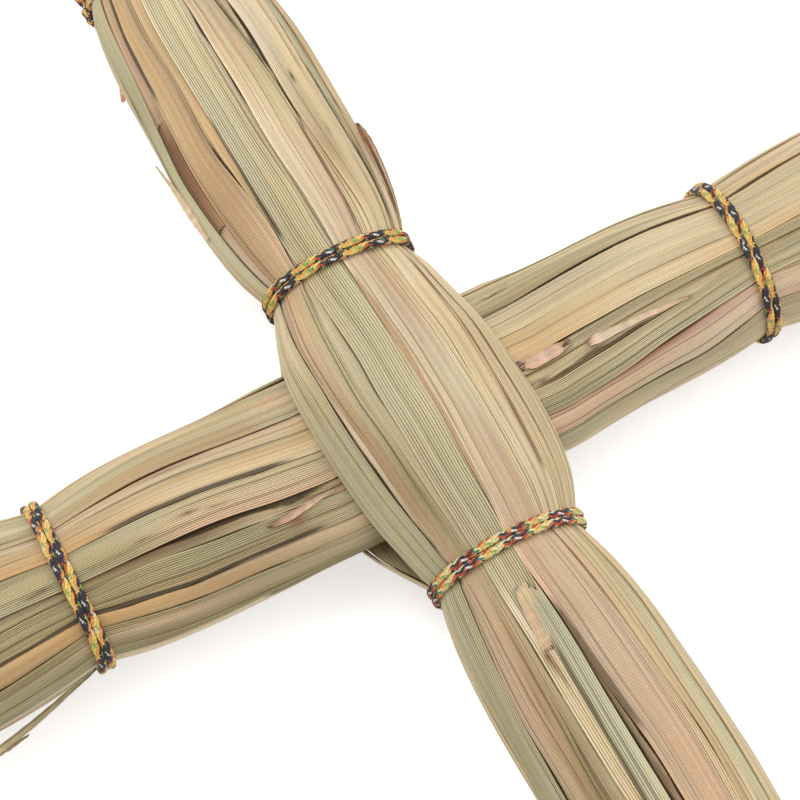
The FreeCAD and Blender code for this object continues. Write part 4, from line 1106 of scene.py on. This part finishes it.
def inner_blade(heap, bundle, end, rng, leaf):
    # its section is a bent strip, turned any way, and points outside the ring are drawn back in
    radius = math.sqrt(rng.uniform(0.0, 1.0)) * INNER_REACH
    place = rng.uniform(0, 2 * math.pi)
    long = rng.uniform(16, 26)
    stop = bundle.end - rng.uniform(0.3, 3.5)
    s = np.linspace(stop - long, stop, BLADE_ROWS) * end
    a = (bundle.width(s, False) - INNER_MARGIN)[:, None]
    h = (bundle.height(s, False) - INNER_MARGIN)[:, None]
    turn = rng.uniform(0, math.pi)
    bend = rng.uniform(0.3, 1.5) * rng.choice([-1, 1])
    size = rng.uniform(2.0, 4.5) / max(abs(bend), 0.3)
    v = np.linspace(-1, 1, BLADE_SIDES // 2)
    side = size * np.sin(v * bend)
    fold = size * (1 - np.cos(v * bend))
    lateral = np.concatenate([side, side[::-1]])
    up = np.concatenate([fold, fold[::-1] - rng.uniform(0.3, 0.5)])
    x = a * radius * math.sin(place) + lateral * math.cos(turn) - up * math.sin(turn)
    z = h * radius * math.cos(place) + lateral * math.sin(turn) + up * math.cos(turn)
    reach = np.maximum(np.hypot(x / a, z / h), 1.0)
    ring = bundle.place(x / reach, np.repeat(s[:, None], BLADE_SIDES, 1), z / reach - REST_Z)
    tone = [SAGE, STRAW, ROSE, GOLD, OLIVE, PALE, TAN][rng.integers(7)] * rng.uniform(0.8, 1.0)
    count = BLADE_ROWS * BLADE_SIDES
    run = np.stack([np.tile(np.concatenate([v, v[::-1]]) * 3, BLADE_ROWS), np.repeat(s, BLADE_SIDES),
                    np.full(count, leaf)], -1)
    faces = ring_faces(BLADE_ROWS, BLADE_SIDES, (bundle is CROSSPIECE) != (end < 0), heap.base)
    heap.add(ring.reshape(-1, 3), faces, np.repeat(tone[None, :], count, 0), run)


def inner_leaves(bundle, seed):
    rng = np.random.default_rng(seed)
    heap = Heap()
    inner_body(heap, bundle, seed)
    for end in (-1, 1):
        for k in range(INNER_BLADES):
            inner_blade(heap, bundle, end, rng, k * 1.3 + seed)
    heap.build("blades_inner_" + bundle.name, LEAF["inner_leaf"], "inner_leaf",
               bundle.name + "_inner_leaves", 48)


inner_leaves(UPRIGHT, 201)
inner_leaves(CROSSPIECE, 202)

# Braided cord: around it lie four light yarns and four dark ones, crossed by short stitches
WAY_ONE = (ORANGE, BLACK, YELLOW, YELLOW, BLACK, ORANGE, BLACK, BLACK)
WAY_TWO = (GREEN, GREEN, RED, BLACK, WHITE, BLACK, YELLOW, ORANGE)
LOWER_ONE = (ORANGE, RED, PALE_YELLOW, YELLOW, BLACK, PALE_YELLOW, BLACK, RED)
LOWER_TWO = (GREEN, PALE_YELLOW, RED, BLACK, WHITE, BLACK, TEAL, PALE_YELLOW)
STITCHES_ONE = (ORANGE, RED, WHITE, GREEN)
STITCHES_TWO = (WHITE, TEAL, PALE_YELLOW, ORANGE)
LAY = 15.5
FRONT_COLUMN = 0.45
CORD_GAP = 0.15
YARN_SIDES = 4
YARN_HALF_WIDTH = 0.46
YARN_HALF_THICKNESS = 0.34
YARN_STEP = 0.64
PAIR_SPREAD = 0.78
BRAID_DEPTH = 0.62
BRAID_BREADTH = 0.82
OVER_AND_UNDER = 0.17
KNOT_LENGTH = 30.0
KNOT_TURNS = 1.5
KNOT_SWING = 2.31
TAIL_STEP = 0.5
TAIL_LENGTH = 14.0
LONG_TAIL_LENGTH = 34.0
SECOND_TAIL_LENGTH = 10.0


def unit(v):
    return v / np.maximum(np.linalg.norm(v, axis=-1, keepdims=True), 1e-9)


def travelled(path):
    return np.concatenate([[0], np.cumsum(np.linalg.norm(np.diff(path, axis=0), axis=1))])


def tangents(path, closed):
    if closed:
        return unit(np.roll(path, -1, 0) - np.roll(path, 1, 0))
    return unit(np.gradient(path, axis=0))


def frame_along(path, up):
    tangent = tangents(path, False)
    radial = unit(np.cross(tangent, np.array(up)[None, :]))
    return radial, np.cross(radial, tangent)


class Tangle(Heap):
    """The yarns of one tie."""

    def yarn(self, centre, outward, tint, seed, closed):
        n = len(centre)
        side = unit(np.cross(tangents(centre, closed), outward))
        up = np.cross(side, tangents(centre, closed))
        corners = np.arange(YARN_SIDES)
        turn = 2 * np.pi * (corners + 0.5) / YARN_SIDES
        ring = (centre[:, None, :] + side[:, None, :] * (YARN_HALF_WIDTH * np.cos(turn))[None, :, None]
                + up[:, None, :] * (YARN_HALF_THICKNESS * np.sin(turn))[None, :, None])
        start = np.arange(n if closed else n - 1)[:, None] * YARN_SIDES
        a = (start + corners).ravel()
        b = (start + (corners + 1) % YARN_SIDES).ravel()
        quads = np.stack([a, a + YARN_SIDES, b + YARN_SIDES, b], 1) % (n * YARN_SIDES) + self.base
        faces = quads.tolist()
        if not closed:
            first = self.base + corners
            faces += [first.tolist(), (first + (n - 1) * YARN_SIDES)[::-1].tolist()]
        run = np.stack([np.tile(turn, n), np.repeat(travelled(centre), YARN_SIDES),
                        np.full(n * YARN_SIDES, seed * 1.7)], -1)
        self.add(ring.reshape(-1, 3), faces, np.repeat(tint, YARN_SIDES, 0), run)

    def braid(self, centre, radial, axis, repeats, closed, seed, taper=1.0, colours=(WAY_ONE, WAY_TWO)):
        # sixteen yarns in pairs, four pairs each way round, one pair over and one under;
        # the pairs of the first way stay longer on top
        rng = np.random.default_rng(seed)
        n = len(centre)
        x = np.arange(n) / (n if closed else n - 1) * repeats + rng.uniform(0, 1)
        if closed:
            x = x - x[0] + round(x[0] * 4) / 4
        for way, palette, stitches in ((1, colours[0], STITCHES_ONE), (-1, colours[1], STITCHES_TWO)):
            for k in range(8):
                pair = (-way * (k // 2)) % 4
                beside = (k % 2 - 0.5) * PAIR_SPREAD
                phi = way * 2 * np.pi * x + (k // 2) * np.pi / 2 + beside + FRONT_COLUMN
                swing = way * (np.cos(8 * np.pi * x + way * 2 * beside) + 0.5)
                r = (1.0 + OVER_AND_UNDER * np.tanh(2.4 * swing)) * taper
                direction = radial * (BRAID_DEPTH * np.cos(phi))[:, None]
                direction = direction + axis * (BRAID_BREADTH * np.sin(phi))[:, None]
                tint = palette[pair * 2 + k % 2]
                patch = smooth((Wander(rng, 1.6)(x) - 0.9) / 0.08) * 0.8
                tint = tint + (stitches[k % 4] - tint) * patch[:, None]
                path = centre + direction * r[:, None]
                self.yarn(path, unit(direction), tint, seed + k + 10 * way, closed)


def tie(name, bundle, at, knot_degrees, seed, node, long_tail=False, lean=0.0, colours=(WAY_ONE, WAY_TWO)):
    # two turns side by side, a knot behind and two tails; the turns may run at a slant
    tangle = Tangle()
    rng = np.random.default_rng(seed)
    offset = CORD_RADIUS + CORD_GAP
    axis_row = bundle.place(np.zeros(1), np.ones(1), np.zeros(1))
    sway = [(m, rng.uniform(-0.22, 0.22), rng.uniform(0, 6)) for m in (1, 2, 3)]
    coarse = np.linspace(0, 2 * np.pi, 721)
    length = travelled(surface(bundle, at, coarse, offset + 0.35))
    count = int(length[-1] / YARN_STEP)
    angle = np.interp(np.arange(count) / count * length[-1], length, coarse)
    drift = sum(high * np.sin(m * angle + phase) for m, high, phase in sway)
    for side in (-1, 1):
        s = at + side * (CORD_RADIUS + 0.02 + 0.06 * np.sin(4 * angle + seed)) + drift
        path = surface(bundle, s + lean * np.sin(angle), angle, offset + 0.12 * np.sin(5 * angle + side))
        axis = np.repeat(axis_row, count, 0)
        radial = unit(np.cross(tangents(path, True), axis))
        radial *= np.sign(np.sum(radial * (path - path.mean(0)), 1))[:, None]
        tangle.braid(path, radial, axis, round(length[-1] / LAY), True, seed + side, 1.0, colours)
    spot = math.radians(knot_degrees)
    t = np.linspace(0, 1, 60)
    wind = 2 * np.pi * KNOT_TURNS * t
    angle = spot + (t - 0.5) * 0.16 + 0.03 * np.sin(2 * wind)
    path = surface(bundle, at + KNOT_SWING * np.cos(wind), angle, offset + 1.5 + 0.9 * np.sin(wind))
    tangle.braid(path, *frame_along(path, (0.01, 0.01, 1.01)), KNOT_LENGTH / LAY, False, seed + 5)
    away = -1 if at > 0 else 1
    rate = math.hypot(bundle.width(at, False) * math.cos(spot), bundle.height(at, False) * math.sin(spot))
    first = LONG_TAIL_LENGTH if long_tail else TAIL_LENGTH
    for way, length, turn in ((away, first, -4.0), (-away, SECOND_TAIL_LENGTH, 3.0)):
        t = np.linspace(0, 1, int(length / TAIL_STEP))
        s = at + way * (1.6 + length * t)
        angle = spot + turn * t ** 1.5 / rate
        ends = colours
        if long_tail and way == away:
            angle = spot - 0.24 * np.sin(np.pi * t) + 0.13 * t ** 3
            ends = ((SALMON, ORANGE) * 4, (SALMON, PALE_YELLOW) * 4)
        path = surface(bundle, s, angle, CORD_RADIUS + 0.2 + 0.8 * (1 - t) ** 2)
        fray = 0.9 - (0.35 if long_tail else -0.4) * smooth((t - 0.8) / 0.2)
        directions = frame_along(path, (0.02, 0.03, 1.0))
        tangle.braid(path, *directions, length / LAY, False, seed + way + 8, fray, ends)
    tangle.build(name, CORD, "braided_cord", node, 80)


tie("cord_upper_middle", UPRIGHT, MIDDLE_TIE_AT, -152, 301, "upright_tie_upper_middle")
tie("cord_lower_middle", UPRIGHT, -MIDDLE_TIE_AT, -150, 311, "upright_tie_lower_middle",
    colours=(LOWER_ONE, LOWER_TWO))
tie("cord_upper_outer", UPRIGHT, OUTER_TIE_AT, -112, 321, "upright_tie_upper_outer", long_tail=True)
tie("cord_lower_outer", UPRIGHT, -OUTER_TIE_AT, -128, 331, "upright_tie_lower_outer")
tie("cord_left", CROSSPIECE, -LEFT_TIE_AT, -152, 341, "crosspiece_tie_left")
tie("cord_right", CROSSPIECE, RIGHT_TIE_AT, -152, 351, "crosspiece_tie_right", lean=RIGHT_TIE_LEAN)

# Floor, light and camera
FLOOR_HALF = 3.0
FLOOR_Z = -0.0002
FLOOR_GREY = (0.86, 0.86, 0.86, 1.0)
FLOOR_GLOW = 0.56
FULL_WHITE = (1.0, 1.0, 1.0, 1.0)
SKY_LIGHT = 0.55
SKY_SEEN = 1.0
floor_mesh = bpy.data.meshes.new("floor")
corners = [(x * FLOOR_HALF, y * FLOOR_HALF, FLOOR_Z) for x, y in ((-1, -1), (1, -1), (1, 1), (-1, 1))]
floor_mesh.from_pydata(corners, [], [(0, 1, 2, 3)])
floor = bpy.data.objects.new("floor", floor_mesh)
bpy.context.scene.collection.objects.link(floor)
g = Graph(bpy.data.materials.new("floor"))
glow = g.times(g.node("ShaderNodeLightPath").outputs["Is Camera Ray"], FLOOR_GLOW)
g.coat(Base_Color=FLOOR_GREY, Roughness=0.9, Specular_IOR_Level=0.0, Emission_Color=FULL_WHITE,
       Emission_Strength=glow)
floor_mesh.materials.append(g.owner)

world = bpy.data.worlds.new("studio")
bpy.context.scene.world = world
g = Graph(world, "Background")
paths = g.node("ShaderNodeLightPath").outputs
seen = g.math("MAXIMUM", paths["Is Camera Ray"], paths["Is Glossy Ray"])
seen = g.math("MAXIMUM", seen, paths["Is Transmission Ray"])
g.coat(Color=FULL_WHITE, Strength=g.span(seen, 0.0, 1.0, SKY_LIGHT, SKY_SEEN))


def softbox(name, where, size, power):
    light = bpy.data.lights.new(name, "AREA")
    light.shape = "SQUARE"
    light.size = size
    light.energy = power
    lamp = bpy.data.objects.new(name, light)
    lamp.location = where
    lamp.rotation_mode = "QUATERNION"
    lamp.rotation_quaternion = (LIT_POINT - Vector(where)).to_track_quat("-Z", "Y")
    bpy.context.scene.collection.objects.link(lamp)


LIT_POINT = Vector((0, 0, 0.02))
softbox("key", (-0.4, 0.6, 1.2), 1.0, 8.5)
softbox("fill", (0.9, -0.3, 1.0), 1.2, 6.0)

AZIMUTH = math.radians(-28.4)
ELEVATION = math.radians(62.0)
TARGET = Vector((-0.0035, 0.0066, 0.0214))
DISTANCE = 0.6349
camera_data = bpy.data.cameras.new("camera")
camera_data.lens = 100.0
camera_data.sensor_width = 36.0
camera_data.clip_start = 0.01
camera_data.clip_end = 50.0
camera = bpy.data.objects.new("camera", camera_data)
level = math.cos(ELEVATION)
back = Vector((math.sin(AZIMUTH) * level, -math.cos(AZIMUTH) * level, math.sin(ELEVATION)))
camera.location = TARGET + back * DISTANCE
camera.rotation_mode = "QUATERNION"
camera.rotation_quaternion = (-back).to_track_quat("-Z", "Y")
bpy.context.scene.collection.objects.link(camera)
bpy.context.scene.camera = camera
bpy.context.scene.view_settings.view_transform = "Standard"
